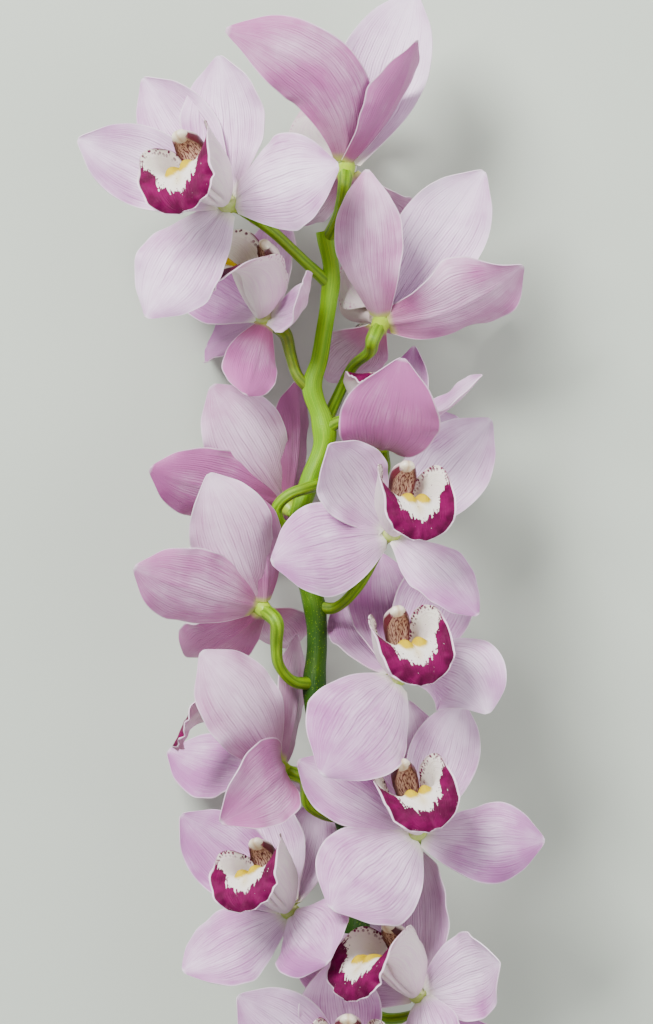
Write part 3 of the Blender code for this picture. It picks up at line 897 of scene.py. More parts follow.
@dataclass(frozen=True)
class LipBackFinish:
    """The lip's outer face: cream and pale pink, with the band showing through."""

    cream: Colour = (0.80, 0.72, 0.68)
    pink: Colour = (0.72, 0.50, 0.62)
    shadow: Colour = (0.52, 0.16, 0.34)
    dot_scale: float = 620
    skin_scale: float = 1800
    relief: float = 0.2
    roughness: float = 0.46
    glow: float = 0.16
    sheen: float = 0.12

    def build(self, name: str) -> bpy.types.Material:
        """Makes the material.

        Args:
            name: its name.

        Returns:
            The material.
        """
        mix = Recipe(name)
        share, side = mix.grid_position()
        streaks = mix.grain((share, 4.0), (side, 22.0), 0.0, 1.5, 3)
        colour = mix.mix(mix.ease(streaks, 0.35, 0.75, 0.7), self.cream, self.pink)
        colour = mix.mix(mix.ease(mix.layer("band"), 0.3, 1.0, 0.55), colour, self.shadow)
        dots = mix.times(mix.layer("dotted"), mix.ease(mix.spots(self.dot_scale), 0.40, 0.28, 0.8))
        colour = mix.mix(dots, colour, self.shadow)
        skin = mix.noise(mix.place, self.skin_scale, 1)
        mix.bump(mix.math("ADD", streaks, skin), self.relief, 0.6)
        return mix.flesh(colour, self.roughness, self.glow, sheen=self.sheen)


@dataclass(frozen=True)
class ColumnFinish:
    """The column: cream back, dark maroon wings, and a khaki hollow with brown dashes under it."""

    cream: Colour = (0.80, 0.66, 0.62)
    khaki: Colour = (0.62, 0.40, 0.30)
    brown: Colour = (0.13, 0.015, 0.025)
    maroon: Colour = (0.08, 0.002, 0.01)
    relief: float = 0.15
    roughness: float = 0.40
    glow: float = 0.10
    coat: float = 0.1

    def build(self, name: str) -> bpy.types.Material:
        """Makes the material.

        Args:
            name: its name.

        Returns:
            The material.
        """
        mix = Recipe(name)
        share, side = mix.grid_position()
        under = mix.layer("under")
        dashes = mix.grain((share, 13.0), (side, 34.0), 0.0, 1.0, 3)
        colour = mix.mix(under, self.cream, self.khaki)
        colour = mix.mix(mix.times(under, mix.ease(dashes, 0.49, 0.55)), colour, self.brown)
        colour = mix.mix(mix.layer("wing"), colour, self.maroon)
        mix.bump(dashes, self.relief, 0.6)
        return mix.flesh(colour, self.roughness, self.glow, coat=self.coat)


@dataclass(frozen=True)
class CapFinish:
    """The anther cap: waxy cream, darker and yellower in its groove."""

    cream: Colour = (0.84, 0.77, 0.62)
    shade: Colour = (0.62, 0.47, 0.30)
    cloud_scale: float = 500
    relief: float = 0.2
    roughness: float = 0.34
    glow: float = 0.15
    coat: float = 0.25

    def build(self, name: str) -> bpy.types.Material:
        """Makes the material.

        Args:
            name: its name.

        Returns:
            The material.
        """
        mix = Recipe(name)
        cloud = mix.noise(mix.place, self.cloud_scale, 3)
        colour = mix.mix(mix.ease(cloud, 0.45, 0.8, 0.6), self.cream, self.shade)
        colour = mix.mix(mix.layer("groove"), colour, self.shade)
        mix.bump(cloud, self.relief, 0.6)
        return mix.flesh(colour, self.roughness, self.glow, coat=self.coat)


@dataclass(frozen=True)
class GreenFinish:
    """The scape and the stalks: bright lime with paler fibres, deeper green further down the stem, and
    painted shade in the furrows between the ribs.
    """

    lime: Colour = (0.14, 0.38, 0.0)
    pale: Colour = (0.36, 0.62, 0.0)
    deep: Colour = (0.012, 0.06, 0.0)
    olive: Colour = (0.16, 0.16, 0.01)
    furrow_shade: Colour = (0.03, 0.11, 0.0)
    mottle_scale: float = 60
    speck_scale: float = 900
    skin_scale: float = 2200
    relief: float = 0.22
    roughness: float = 0.40
    gloss: float = 0.3

    def build(self, name: str) -> bpy.types.Material:
        """Makes the material.

        Args:
            name: its name.

        Returns:
            The material.
        """
        mix = Recipe(name)
        share, side = mix.grid_position()
        mottle = mix.noise(mix.place, self.mottle_scale, 3)
        fibres = mix.grain((share, 8.0), (side, 24.0), mottle, 1.5, 4)
        # Deeper green further down the scape and towards each stalk's base, varied by the mottle.
        age = mix.stray(mottle, 0.5, mix.layer("age"))
        colour = mix.mix(mix.ease(fibres, 0.3, 0.75, 0.8), self.lime, self.pale)
        colour = mix.mix(mix.ease(age, 0.1, 1.0), colour, self.deep)
        olive = mix.times(mix.layer("olive"), mix.ease(mottle, 0.2, 0.7))
        colour = mix.mix(olive, colour, self.olive)
        specks = mix.ease(mix.spots(self.speck_scale), 0.25, 0.12, 0.35)
        colour = mix.mix(specks, colour, self.pale)
        # Painted shade: the furrows between the ribs are darkened towards a deeper green.
        colour = mix.mix(mix.ease(mix.layer("rib"), 0.2, -0.9, 0.55), colour, self.furrow_shade)
        skin = mix.noise(mix.place, self.skin_scale, 1)
        mix.bump(mix.math("MULTIPLY_ADD", fibres, 1.2, skin), self.relief, 0.7)
        return mix.flesh(colour, self.roughness, 0.0, gloss=self.gloss)


@dataclass(frozen=True)
class HubFinish:
    """The hub where the tepals meet: yellow green running into a paler green."""

    green: Colour = (0.33, 0.50, 0.01)
    pale: Colour = (0.62, 0.60, 0.36)
    cloud_scale: float = 400
    relief: float = 0.2
    roughness: float = 0.42
    glow: float = 0.05

    def build(self, name: str) -> bpy.types.Material:
        """Makes the material.

        Args:
            name: its name.

        Returns:
            The material.
        """
        mix = Recipe(name)
        share, _ = mix.grid_position()
        cloud = mix.noise(mix.place, self.cloud_scale, 3)
        run = mix.ease(mix.stray(cloud, 0.5, share), 0.30, 0.90)
        mix.bump(cloud, self.relief, 0.6)
        return mix.flesh(mix.mix(run, self.green, self.pale), self.roughness, self.glow)


LOOKS = {
    Skin.TEPAL_FACE: TepalFinish(
        pale=(0.92, 0.74, 0.92),
        deep=(0.47, 0.15, 0.42),
        vein=(0.34, 0.10, 0.30),
        root=(0.86, 0.80, 0.72),
        flush=(0.88, 0.80, 0.88),
        vein_strength=0.55,
        flush_strength=0.35,
        root_reach=0.12,
        flank=0.2,
    ),
    Skin.TEPAL_BACK: TepalFinish(
        pale=(0.92, 0.68, 0.86),
        deep=(0.47, 0.12, 0.34),
        vein=(0.34, 0.10, 0.25),
        root=(0.50, 0.52, 0.10),
        flush=(0.33, 0.05, 0.15),
        vein_strength=0.5,
        flush_strength=0.8,
        root_reach=0.06,
        flank=0.1,
    ),
    Skin.LIP_FACE: LipFinish(),
    Skin.LIP_BACK: LipBackFinish(),
    Skin.COLUMN: ColumnFinish(),
    Skin.CAP: CapFinish(),
    Skin.HUB: HubFinish(),
    Skin.GREEN: GreenFinish(),
}


class BloomFrame:
    """A bloom's own directions: right, up, and the way it faces, with the hub at nought."""

    def __init__(self, bloom: Bloom) -> None:
        """Finds the directions.

        Args:
            bloom: the bloom whose directions these are.
        """
        self.hub = np.array(bloom.hub, float)
        self.size = bloom.size
        self.facing = unit(bloom.facing)
        up = np.asarray(bloom.up, float)
        self.up = unit(up - (up @ self.facing) * self.facing)
        self.right = np.cross(self.up, self.facing)

    def points(self, x: Array, y: Array, z: Array) -> Array:
        """Layout points from millimetres to the right, up and out in a bloom of common size."""
        x, y, z = (part[..., None] for part in np.broadcast_arrays(x, y, z))
        return self.hub + self.size * (x * self.right + y * self.up + z * self.facing)


def midline(line: Line, share: Array) -> tuple[Array, Array, Array]:
    """A midline in a bloom's upright plane.

    Args:
        line: its knots, (up, out) from the hub.
        share: shares of the way along it.

    Returns:
        The points, the way along and the upper side, each as (up, out).
    """
    here = smooth_route(line, share)
    way = unit(smooth_route(line, share + 0.001) - smooth_route(line, share - 0.001))
    return here, way, np.stack([way[..., 1], -way[..., 0]], axis=-1)


@dataclass
class TepalPiece:
    """One sepal or petal as a thin, veined, slightly waved blade.

    Where it starts, its wall, its crease and what brings it forward are in millimetres. The rest are
    shares of its length or half width, and beats along it.
    """

    plan: Tepal
    frame: BloomFrame
    facing: Point
    forward: float
    flush: float
    seed: float
    cells: tuple[int, int] = (46, 24)
    crowding: float = 1.25
    start: float = 3.0
    root_width: float = 0.30
    root_fade: float = 2.2
    swell: float = 1.1
    close: float = 0.85
    blunt_tip: float = 0.06
    taper: float = 0.16
    taper_reach: tuple[float, float] = (0.84, 0.97)
    narrowing: float = 0.18
    wave_beat: float = 8.2
    wave_shift: float = 2.3
    ripple_height: float = 0.035
    ripple_beat: float = 4.3
    ripple_shift: float = 0.3
    crease: float = 0.7
    crease_width: float = 1.3
    thickness: float = 1.2
    thinnest: float = 0.35

    def half_outline(self, share: Array) -> Array:
        """Half the blade's width along it, 1 at its widest.

        Args:
            share: shares of its length.

        Returns:
            One half width to each share.
        """
        widest = self.swell / (self.swell + self.close)
        peak = widest**self.swell * (1 - widest) ** self.close
        root = (1 - share) ** self.root_fade
        body = share**self.swell * (1 - share) ** self.close / peak
        body = self.blunt_tip * share**6 + body * (1 - 0.5 * self.root_width * root)
        return self.root_width * root + (1 - self.taper * ease(share, *self.taper_reach)) * body

    def surface(self, share: Array, side: Array) -> Array:
        """The blade's middle surface.

        Args:
            share: shares of its length, from the hub to the tip.
            side: sides -1 to 1 across it.

        Returns:
            Layout points.
        """
        plan = self.plan
        root = self.frame.hub
        reach = np.asarray(plan.tip, float) - root
        length = np.linalg.norm(reach)
        chord = reach / length
        inner = unit(plan.inner or self.facing)
        inner = unit(inner - (inner @ chord) * chord)
        cross = np.cross(chord, inner)
        run = self.start + (length - self.start) * share
        part = run / length
        sag = plan.bow * inner + plan.sway * cross
        way = unit(chord + (4 * (1 - 2 * part))[..., None] * sag)
        turn = (np.radians(plan.twist) * share)[..., None]
        across = np.cos(turn) * cross - np.sin(turn) * inner
        across = unit(across - (across * way).sum(-1, keepdims=True) * way)
        half = plan.width / 2 * self.half_outline(share)
        spread = half * side * (1 - self.narrowing * abs(plan.cup) * side**2)
        lift = plan.cup * half * side**2 + self.relief(share, side, half)
        middle = root + run[..., None] * chord + (length * 4 * part * (1 - part))[..., None] * sag
        return middle + spread[..., None] * across + lift[..., None] * np.cross(across, way)

    def relief(self, share: Array, side: Array, half: Array) -> Array:
        """What lifts the blade off its plain form: waved margins, the midrib's crease and its layer.

        Args:
            share: shares of its length.
            side: sides -1 to 1 across it.
            half: its half width in millimetres.

        Returns:
            The lift in millimetres.
        """
        beat = self.wave_beat * share + self.wave_shift * np.sign(side) + self.plan.tip[0]
        margin = self.plan.wave * half * np.abs(side) ** 3 * np.sin(beat)
        turns = self.ripple_beat * share + self.ripple_shift * np.sign(side) + self.seed
        ripple = self.ripple_height * half * side**4 * np.sin(2 * np.pi * turns)
        crease = self.crease * np.exp(-((side * half / self.crease_width) ** 2))
        layer = self.forward * (1 - share) ** 3
        return margin + ripple * ease(share, 0.1, 0.5) - crease * ease(share, 1.0, 0.6) + layer

    def build(self, name: str, node: str) -> bpy.types.Object:
        """Makes the blade.

        Args:
            name: the piece's name.
            node: the node it stands for.

        Returns:
            The finished object.
        """
        piece = laid_grid(name, self.cells, lambda share, side: self.surface(self.crowd(share), side))
        share, side = read_grid(piece)
        share = self.crowd(share)
        write_grid(piece, share, side)
        write_layers(piece, blush=self.plan.tint.value, flush=self.flush)
        weight = ease(np.abs(side), 1.0, 0.35) * ease(share, 1.0, 0.75)
        paint(piece, Skin.TEPAL_BACK, Skin.TEPAL_FACE)
        give_wall(piece, self.thickness, weight, self.thinnest)
        dress(piece, node)
        smooth(piece)
        return piece

    def crowd(self, share: Array) -> Array:
        """Shares of the length, closer together towards the tip."""
        return 1 - (1 - share) ** self.crowding


@dataclass
class LipPiece:
    """The lip: side lobes that stand up by the column, two swollen keels, a frilled and curled end.

    Its midline is (up, out) from the hub in the bloom's upright plane. Its half widths and bends, in
    millimetres and degrees to a side, are given at the stations.
    """

    frame: BloomFrame
    seed: float
    cells: tuple[int, int] = (72, 56)
    crowding: float = 1.25
    length: float = 58
    line: Line = ((-2, 4.6), (-0.5, 12), (2.5, 20.5), (5.5, 29.5), (4, 38), (-3, 43), (-12.5, 42.5))
    stations: Levels = (0, 0.10, 0.22, 0.34, 0.45, 0.55, 0.64, 0.74, 0.86, 0.95, 1)
    half_widths: Levels = (3.8, 14.5, 22.5, 26, 27, 24.5, 18.5, 16, 14, 9.5, 3)
    bends: Levels = (60, 115, 135, 138, 133, 100, 58, 20, -12, -24, -28)
    flattest: float = 0.02
    sweep: float = 3.0
    sweep_stations: Levels = (0, 0.3, 0.6, 0.8, 1)
    sweep_shares: Levels = (0, 1, 1.2, 0, 0)
    keel_height: float = 3.2
    frill: float = 0.8
    frill_reach: float = 6.5
    frill_centre: float = 0.78
    front_waves: tuple[int, int] = (11, 19)
    lobe_waves: int = 7
    side_band: float = 7.5
    front_band: float = 10.5
    wedge: float = 13.0
    thickness: float = 1.1
    thinnest: float = 0.4

    def crowd(self, side: Array) -> Array:
        """Sides with their cells closer together round the keels."""
        return np.sign(side) * np.abs(side) ** self.crowding

    def half_width(self, share: Array) -> Array:
        """Half the lip's width along it, in millimetres."""
        return flowing(share, self.stations, self.half_widths)

    def keel(self, share: Array, side: Array) -> Array:
        """The two keels, which swell and part towards the lip's bend.

        Args:
            share: shares of the lip's length.
            side: sides -1 to 1 across it.

        Returns:
            Their height, 0 to 1.
        """
        away = np.abs(side) * self.half_width(share)
        spread = 0.9 + 1.5 * ease(share, 0.30, 0.58)
        middle = 1.5 + 1.5 * ease(share, 0.25, 0.54)
        ends = ease(share, 0.04, 0.16) * ease(share, 0.74, 0.65)
        swell = 0.55 + 0.45 * ease(share, 0.30, 0.56)
        return np.exp(-(((away - middle) / spread) ** 2)) * ends * swell

    def rim(self, share: Array, side: Array) -> Array:
        """Distance from the lip's margin, in millimetres."""
        sideways = (1 - np.abs(side)) * self.half_width(share)
        return np.minimum(sideways, (1 - share) * self.length + 0.6)

    def surface(self, share: Array, side: Array) -> Array:
        """The lip's middle surface.

        Args:
            share: shares of its length, from the hub to its end.
            side: sides -1 to 1 across it, before they are crowded.

        Returns:
            Layout points.
        """
        side = self.crowd(side)
        here, way, upper = midline(self.line, share)
        half = self.half_width(share)
        bend = np.radians(flowing(share, self.stations, self.bends))
        bend = np.where(np.abs(bend) < self.flattest, self.flattest, bend)
        radius = half / bend
        sweep = self.sweep * side**2 * np.interp(share, self.sweep_stations, self.sweep_shares)
        lift = radius * (1 - np.cos(bend * side))
        lift = lift + self.keel_height * self.keel(share, side) + self.frills(share, side)
        edge = here + lift[..., None] * upper - sweep[..., None] * way
        return self.frame.points(radius * np.sin(bend * side), edge[..., 0], edge[..., 1])

    def frills(self, share: Array, side: Array) -> Array:
        """Waves round the margin of the middle lobe, and smaller ones along the side lobes.

        Args:
            share: shares of the lip's length.
            side: sides -1 to 1 across it.

        Returns:
            Their height in millimetres.
        """
        turn = np.arctan2(side * self.half_width(share), (share - self.frill_centre) * self.length)
        front = ease(share, 0.58, 0.70)
        near = ease(self.rim(share, side), self.frill_reach, 0.0)
        broad, fine = self.front_waves
        waves = np.sin(broad * turn + 6 * self.seed) + 0.5 * np.sin(fine * turn + 9 * self.seed)
        lobes = np.sin(2 * np.pi * (self.lobe_waves * share + self.seed + 0.2 * np.sign(side)))
        lobes = 0.45 * (1 - front) * ease(share, 0.15, 0.35) * lobes
        return self.frill * near * (front * waves + lobes)

    def layers(self, share: Array, side: Array) -> dict[str, Array]:
        """What the finishes read: the rim, the magenta band, the throat, the dots and the keels.

        Args:
            share: shares of the lip's length.
            side: sides -1 to 1 across it.

        Returns:
            Each layer's name and its numbers.
        """
        half = self.half_width(share)
        rim = self.rim(share, side)
        front = ease(share, 0.56, 0.66)
        reach = self.front_band + self.wedge * (np.abs(side) - 0.3)
        sideways = ease((1 - np.abs(side)) * half, self.side_band + 3, self.side_band - 2.5)
        endways = ease((1 - share) * self.length, reach + 4, reach - 3)
        stain = 0.4 * np.exp(-((np.abs(side) * half / 1.8) ** 2))
        stain = stain * ease(share, 0.62, 0.70) * ease(share, 0.86, 0.74)
        return {
            "rim": rim,
            "band": np.maximum(sideways, endways) * front,
            "throat": ease(share, 0.40, 0.02),
            "dotted": (1 - front) * ease(rim, 4.2, 0.9) * ease(share, 0.10, 0.22),
            "outline": (1 - front) * ease(rim, 0.9, 0.3) * ease(share, 0.16, 0.40),
            "front": front,
            "keel": np.maximum(ease(self.keel(share, side), 0.16, 0.42), stain),
        }

    def build(self, name: str, node: str) -> bpy.types.Object:
        """Makes the lip.

        Args:
            name: the piece's name.
            node: the node it stands for.

        Returns:
            The finished object.
        """
        piece = laid_grid(name, self.cells, self.surface)
        share, side = read_grid(piece)
        side = self.crowd(side)
        write_grid(piece, share, side)
        write_layers(piece, **self.layers(share, side))
        paint(piece, Skin.LIP_FACE, Skin.LIP_BACK)
        give_wall(piece, self.thickness, ease(self.rim(share, side), 0.0, 5.0), self.thinnest)
        dress(piece, node)
        smooth(piece)
        return piece


@dataclass
class ColumnPiece:
    """The arched column with its wings and hollow underside, and the anther cap on its end.

    Its midline is (up, out) from the hub, and its half widths and depths are in millimetres.
    """

    frame: BloomFrame
    cells: tuple[int, int] = (30, 28)
    line: Line = ((4.2, 6.4), (10, 11), (16, 15), (21, 19.5), (23, 25.5))
    widths: Levels = (3.4, 3.8, 5, 5.6, 5.4, 3.4)
    depths: Levels = (3.2, 3, 3, 3.4, 4.2, 2.6)
    closing: float = 0.02
    cap_place: float = 0.97
    cap_size: tuple[float, float, float] = (3.4, 3.3, 3.0)
    cap_below: float = 0.55
    groove_depth: float = 0.08
    groove_width: float = 0.20

    def surface(self, share: Array, side: Array) -> Array:
        """The column's skin, with both ends closed.

        Args:
            share: shares of its length. The first and the last row close its ends.
            side: sides -1 to 1 round it.

        Returns:
            Layout points.
        """
        turn = np.pi * side
        inside = np.clip((share - self.closing) / (1 - 2 * self.closing), 0, 1)
        here, _, upper = midline(self.line, inside)
        open_end = np.abs(share - 0.5) < 0.5 - self.closing / 2
        width = along(self.widths, inside) * open_end
        depth = along(self.depths, inside) * open_end
        back = np.sin(turn)
        hollow = -ease(-back, 0, 0.4) * (0.20 + 0.75 * np.cos(turn) ** 2)
        lift = depth * np.where(back > 0, back, hollow)
        skin = here + lift[..., None] * upper
        return self.frame.points(width * np.cos(turn), skin[..., 0], skin[..., 1])

    def build(self, name: str, node: str) -> bpy.types.Object:
        """Makes the column's own skin.

        Args:
            name: the piece's name.
            node: the node it stands for.

        Returns:
            The finished object.
        """
        piece = laid_grid(name, self.cells, self.surface)
        share, side = read_grid(piece)
        back = np.sin(np.pi * side)
        wing = ease(np.abs(np.cos(np.pi * side)), 0.68, 0.84)
        wing = wing * ease(back, 0.45, 0.0) * ease(share, 0.05, 0.35)
        write_layers(piece, under=ease(-back, 0.0, 0.25), wing=wing)
        close_seams(piece)
        paint(piece, Skin.COLUMN)
        dress(piece, node)
        smooth(piece, 70)
        return piece

    def cap(self, name: str, node: str) -> bpy.types.Object:
        """Makes the anther cap: a small helmet with a groove down its middle.

        Args:
            name: the piece's name.
            node: the node it stands for.

        Returns:
            The finished object.
        """
        deselect_all()
        bpy.ops.mesh.primitive_uv_sphere_add(segments=24, ring_count=16, radius=1)
        piece = bpy.context.object
        piece.name = name
        ball = read_points(piece)
        here, way, upper = (part[0] for part in midline(self.line, np.array([self.cap_place])))
        groove = np.exp(-((ball[:, 0] / self.groove_width) ** 2)) * ease(ball[:, 1], -0.9, 0.2)
        helmet = (1 - self.groove_depth * groove)[:, None] * ball * self.cap_size
        helmet[:, 2] *= np.where(ball[:, 2] < 0, self.cap_below, 1.0)
        place = here + helmet[:, 1:2] * way + helmet[:, 2:3] * upper
        write_points(piece, placed(self.frame.points(helmet[:, 0], place[:, 0], place[:, 1])))
        write_layers(piece, groove=groove)
        close_seams(piece)
        paint(piece, Skin.CAP)
        dress(piece, node)
        smooth(piece, 80)
        return piece


@dataclass
class Tube:
    """A round stem along a route, closed at both ends."""

    route: Array
    radii: Array
    around: int
    ribs: int = 0
    rib_depth: float = 0.0
    rib_start: float = 0.0

    def frames(self) -> tuple[Array, Array]:
        """Two directions across the route at each of its points, carried along without turning.

        Returns:
            The first and the second directions, one to a row.
        """
        ways = unit(np.gradient(self.route, axis=0))
        first = np.cross(ways[0], (0.3, 0.1, 1.0))
        sides = []
        for way in ways:
            first = unit(first - (first @ way) * way)
            sides.append(first)
        return np.array(sides), np.cross(ways, np.array(sides))

    def surface(self, share: Array, side: Array) -> Array:
        """The skin.

        Args:
            share: shares of its length. The first and the last row close its ends.
            side: sides -1 to 1 round it.

        Returns:
            Layout points.
        """
        one, other = self.frames()
        row = np.rint(share * (len(self.route) + 1)).astype(int) - 1
        knot = np.clip(row, 0, len(self.route) - 1)
        turn = np.pi * side
        ribbed = ease(knot / len(self.route), self.rib_start, self.rib_start + 0.1)
        grooves = 1 + self.rib_depth * np.cos(self.ribs * turn) * ribbed
        radius = np.where(row == knot, self.radii[knot], 0) * grooves
        out = np.cos(turn)[..., None] * one[knot] + np.sin(turn)[..., None] * other[knot]
        return self.route[knot] + radius[..., None] * out

    def build(self, name: str) -> bpy.types.Object:
        """The tube as a rolled grid that still wants its seams closed and its finish."""
        return laid_grid(name, (len(self.route) + 1, self.around), self.surface)


@dataclass
class Stem:
    """The scape and the stalks that grew from it as one piece.

    Radii and lengths are in millimetres. A rib's depth and a knuckle are shares of the radius there.
    """

    route: list[Point]
    rows: int = 300
    radii: Levels = (3.2, 5.2)
    around: int = 28
    ribs: int = 5
    rib_depth: float = 0.035
    knuckle: float = 0.16
    knuckle_reach: float = 7.0
    stalk_rows: int = 36
    stalk_around: int = 24
    stalk_ribs: int = 6
    stalk_rib_depth: float = 0.06
    stalk_rib_start: float = 0.1
    ovary_length: float = 9.35
    sunk: float = 3.0
    swelling: Line = ((0, 2.9), (0.25, 2.3), (0.5, 2.35), (0.75, 2.75), (0.9, 3.0), (1, 2.9))

    def build(self) -> list[bpy.types.Object]:
        """The scape and one stalk for each bloom."""
        return [self.scape(), *(self.stalk(letter, bloom) for letter, bloom in BLOOMS.items())]

    def scape(self) -> bpy.types.Object:
        """Makes the scape, a little swollen at each stalk, and pressed flat where it lies on the table.

        Returns:
            The finished object.
        """
        share = np.linspace(0, 1, self.rows)
        route = smooth_route(self.route, share)
        radii = along(self.radii, share)
        for bloom in BLOOMS.values():
            away = np.linalg.norm(route - np.array(bloom.stalk[0]), axis=1)
            radii = radii * (1 + self.knuckle * np.exp(-((away / self.knuckle_reach) ** 2)))
        piece = Tube(route, radii, self.around, self.ribs, self.rib_depth).build("scape_skin")
        points = read_points(piece)
        points[:, 2] = np.maximum(points[:, 2], 0.0)
        write_points(piece, points)
        share, side = read_grid(piece)
        # The rib layer is low in the furrows between the ribs, where the green finish paints shade.
        rib = np.cos(self.ribs * np.pi * side) * 0.4 + 0.2
        write_layers(piece, age=ease(share, 0.10, 0.62), olive=0.0, rib=rib)
        self.finish(piece)
        return piece

    def stalk(self, letter: str, bloom: Bloom) -> bpy.types.Object:
        """Makes a bloom's stalk, swelling into its grooved ovary.

        Args:
            letter: the bloom's letter.
            bloom: the bloom.

        Returns:
            The finished object.
        """
        frame = BloomFrame(bloom)
        end = frame.hub - self.sunk * frame.size * frame.facing
        neck = end - self.ovary_length * frame.facing
        share = np.linspace(0, 1, self.stalk_rows)
        route = smooth_route([*bloom.stalk, neck, end], share)
        radii = flowing(share, *zip(*self.swelling))
        ribs = (self.stalk_ribs, self.stalk_rib_depth, self.stalk_rib_start)
        piece = Tube(route, radii, self.stalk_around, *ribs).build(f"stalk_{letter}")
        share, side = read_grid(piece)
        # The rib layer is low in the furrows between the ribs, where the green finish paints shade.
        rib = np.cos(self.stalk_ribs * np.pi * side)
        write_layers(piece, age=ease(share, 0.35, 0.0) * 0.35 + 0.05, olive=bloom.tone.value, rib=rib)
        self.finish(piece)
        return piece

    def finish(self, piece: bpy.types.Object) -> None:
        """Closes a stem and gives it its green skin.

        Args:
            piece: the scape or a stalk.
        """
        close_seams(piece)
        paint(piece, Skin.GREEN)
        dress(piece, "scape")
        smooth(piece, 60)


@dataclass
class HubPiece:
    """The hub that the tepals grew together on, with the foot that carries lip and column."""

    frame: BloomFrame
    line: Line = ((0, -5), (0, -2.5), (0, 1.6), (1.2, 2.6), (3.6, 5.7))
    radii: Levels = (2.8, 3.5, 4.1, 2.8, 2.4)
    rows: int = 14
    around: int = 18

    def build(self, name: str, node: str) -> bpy.types.Object:
        """Makes the hub.

        Args:
            name: the piece's name.
            node: the node it stands for.

        Returns:
            The finished object.
        """
        share = np.linspace(0, 1, self.rows)
        line = smooth_route(self.line, share)
        route = self.frame.points(0 * share, line[:, 0], line[:, 1])
        piece = Tube(route, along(self.radii, share) * self.frame.size, self.around).build(name)
        close_seams(piece)
        paint(piece, Skin.HUB)
        dress(piece, node)
        smooth(piece, 60)
        return piece


@dataclass
class BloomBuild:
    """All pieces of one bloom."""

    letter: str
    bloom: Bloom
    petal_forward: float = 0.9
    sepal_back: float = -0.7
    low_flush: float = 1.0
    high_flush: float = 0.6
    bloom_step: float = 0.31
    tepal_step: float = 0.173
    lip_step: float = 0.23

    def tepal(self, frame: BloomFrame, part: str, seed: float) -> TepalPiece:
        """One tepal's plan. Petals lie in front of sepals, and the two low sepals are flushed most.

        Args:
            frame: the bloom's directions.
            part: the tepal's name.
            seed: what tells its ripples from others', 0 to 1.

        Returns:
            The tepal, not built yet.
        """
        forward = self.petal_forward if part.endswith("petal") else self.sepal_back
        flush = self.low_flush if part.endswith("sepal") else self.high_flush
        return TepalPiece(getattr(self.bloom, part), frame, self.bloom.facing, forward, flush, seed)

    def build(self) -> list[bpy.types.Object]:
        """Makes five tepals on their hub, the lip, the column and its cap.

        Returns:
            The finished objects.
        """
        frame = BloomFrame(self.bloom)
        number = list(BLOOMS).index(self.letter)
        node = f"bloom_{self.letter}"
        pieces = [HubPiece(frame).build(f"{node}_hub", f"{node}_tepals")]
        for place, part in enumerate(TEPAL_NAMES):
            seed = (self.bloom_step * number + self.tepal_step * place) % 1
            tepal = self.tepal(frame, part, seed)
            pieces.append(tepal.build(f"{node}_{part}", f"{node}_tepals"))
        lip = LipPiece(frame, (self.lip_step * number) % 1)
        column = ColumnPiece(frame)
        pieces.append(lip.build(f"{node}_labellum", f"{node}_lip"))
        pieces.append(column.build(f"{node}_gynostemium", f"{node}_column"))
        pieces.append(column.cap(f"{node}_anther_cap", f"{node}_column"))
        return pieces


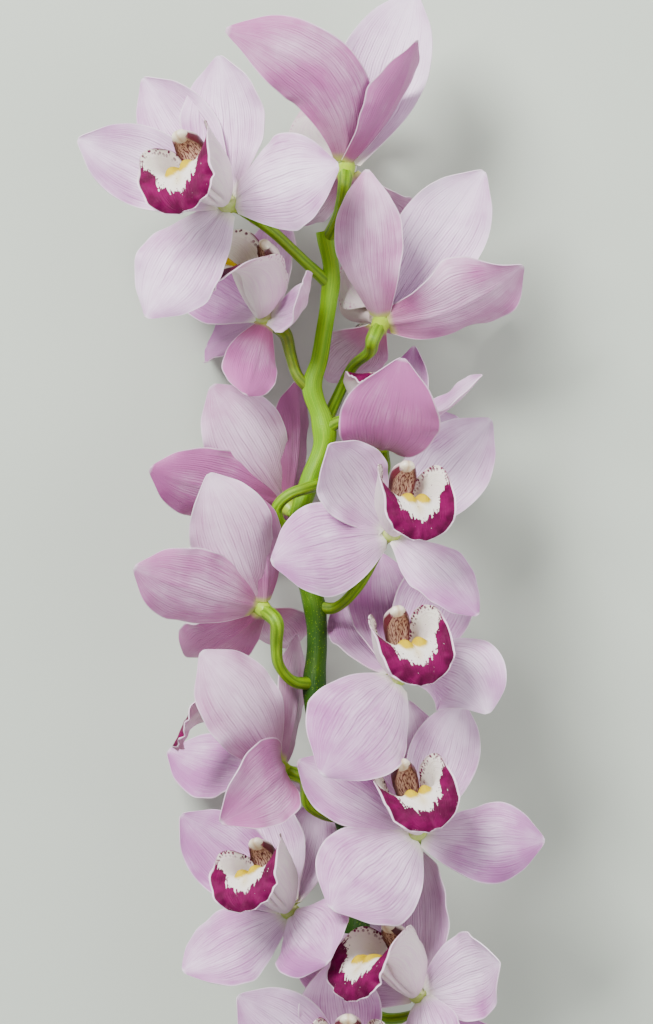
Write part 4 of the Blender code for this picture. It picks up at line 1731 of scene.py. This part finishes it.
@dataclass
class Studio:
    """The pale floor, the soft lights and the camera that looks straight down.

    A lamp is its place over the floor from the middle of the picture, its size and its power.
    """

    camera_height: float = 5.0
    subject_height: float = 0.0505
    view_height: float = 0.4301
    film_height: float = 24
    aim_height: float = 0.05
    look_at: tuple[float, float] = (-MIDDLE[0] * MM, -MIDDLE[1] * MM)
    floor_size: float = 6.0
    floor_dark: Colour = (0.50, 0.56, 0.47)
    floor_light: Colour = (0.60, 0.65, 0.56)
    sky: tuple[float, float, float, float] = (0.92, 0.95, 1.0, 1)
    sky_strength: float = 0.50
    key: tuple[Point, float, float] = ((-0.9, 1.2, 1.6), 0.9, 96)
    fill: tuple[Point, float, float] = ((1.4, -0.2, 1.4), 1.8, 26)

    def build(self) -> None:
        """Sets up the floor, the world, the lights and the camera."""
        self.floor()
        self.world()
        self.light("key", *self.key)
        self.light("fill", *self.fill)
        self.camera()

    def floor(self) -> None:
        """Lays the floor, which is no part of the stem."""
        deselect_all()
        bpy.ops.mesh.primitive_plane_add(size=self.floor_size, location=(*self.look_at, 0))
        plane = bpy.context.object
        plane.name = "floor"
        mix = Recipe("floor")
        colour = mix.mix(mix.noise(mix.place, 3, 2), self.floor_dark, self.floor_light)
        mix.feed(mix.shader.inputs["Base Color"], colour)
        mix.shader.inputs["Roughness"].default_value = 0.75
        plane.data.materials.append(mix.material)

    def world(self) -> None:
        """Sets a pale, even surrounding light."""
        world = bpy.data.worlds.new("studio")
        world.use_nodes = True
        sky = world.node_tree.nodes["Background"]
        sky.inputs["Color"].default_value = self.sky
        sky.inputs["Strength"].default_value = self.sky_strength
        bpy.context.scene.world = world

    def light(self, name: str, offset: Point, size: float, power: float) -> None:
        """Hangs a soft square lamp that is turned to the stem.

        Args:
            name: its name.
            offset: its place from the middle of the picture, in metres.
            size: its side in metres.
            power: its power in watts.
        """
        place = np.array((*self.look_at, 0)) + offset
        deselect_all()
        bpy.ops.object.light_add(type="AREA", location=place)
        lamp = bpy.context.object
        lamp.name = name
        lamp.data.shape = "SQUARE"
        lamp.data.size = size
        lamp.data.energy = power
        aim = np.array((*self.look_at, self.aim_height)) - place
        lean = np.arccos(-aim[2] / np.linalg.norm(aim))
        lamp.rotation_euler = (lean, 0, np.arctan2(aim[1], aim[0]) - np.pi / 2)

    def camera(self) -> None:
        """Hangs a long lens straight above, with the stem's tip at the top of the picture."""
        deselect_all()
        height = self.subject_height + self.camera_height
        bpy.ops.object.camera_add(location=(*self.look_at, height), rotation=(0, 0, 0))
        camera = bpy.context.object
        camera.name = "camera"
        camera.data.sensor_fit = "VERTICAL"
        camera.data.sensor_height = self.film_height
        camera.data.lens = self.film_height * self.camera_height / self.view_height
        camera.data.clip_end = 50
        bpy.context.scene.camera = camera


def main() -> None:
    """Builds every piece of the stem in order, then the studio round it."""
    logging.basicConfig(level=logging.INFO, format="%(message)s")
    for skin, finish in LOOKS.items():
        FINISHES[skin] = finish.build(skin.value)
    blooms = [BloomBuild(letter, bloom) for letter, bloom in BLOOMS.items()]
    for assembly in (Stem(SCAPE_ROUTE), *blooms):
        for piece in assembly.build():
            log.info("%s: %d faces", piece.name, len(piece.data.polygons))
    Studio().build()


if __name__ == "__main__":
    main()
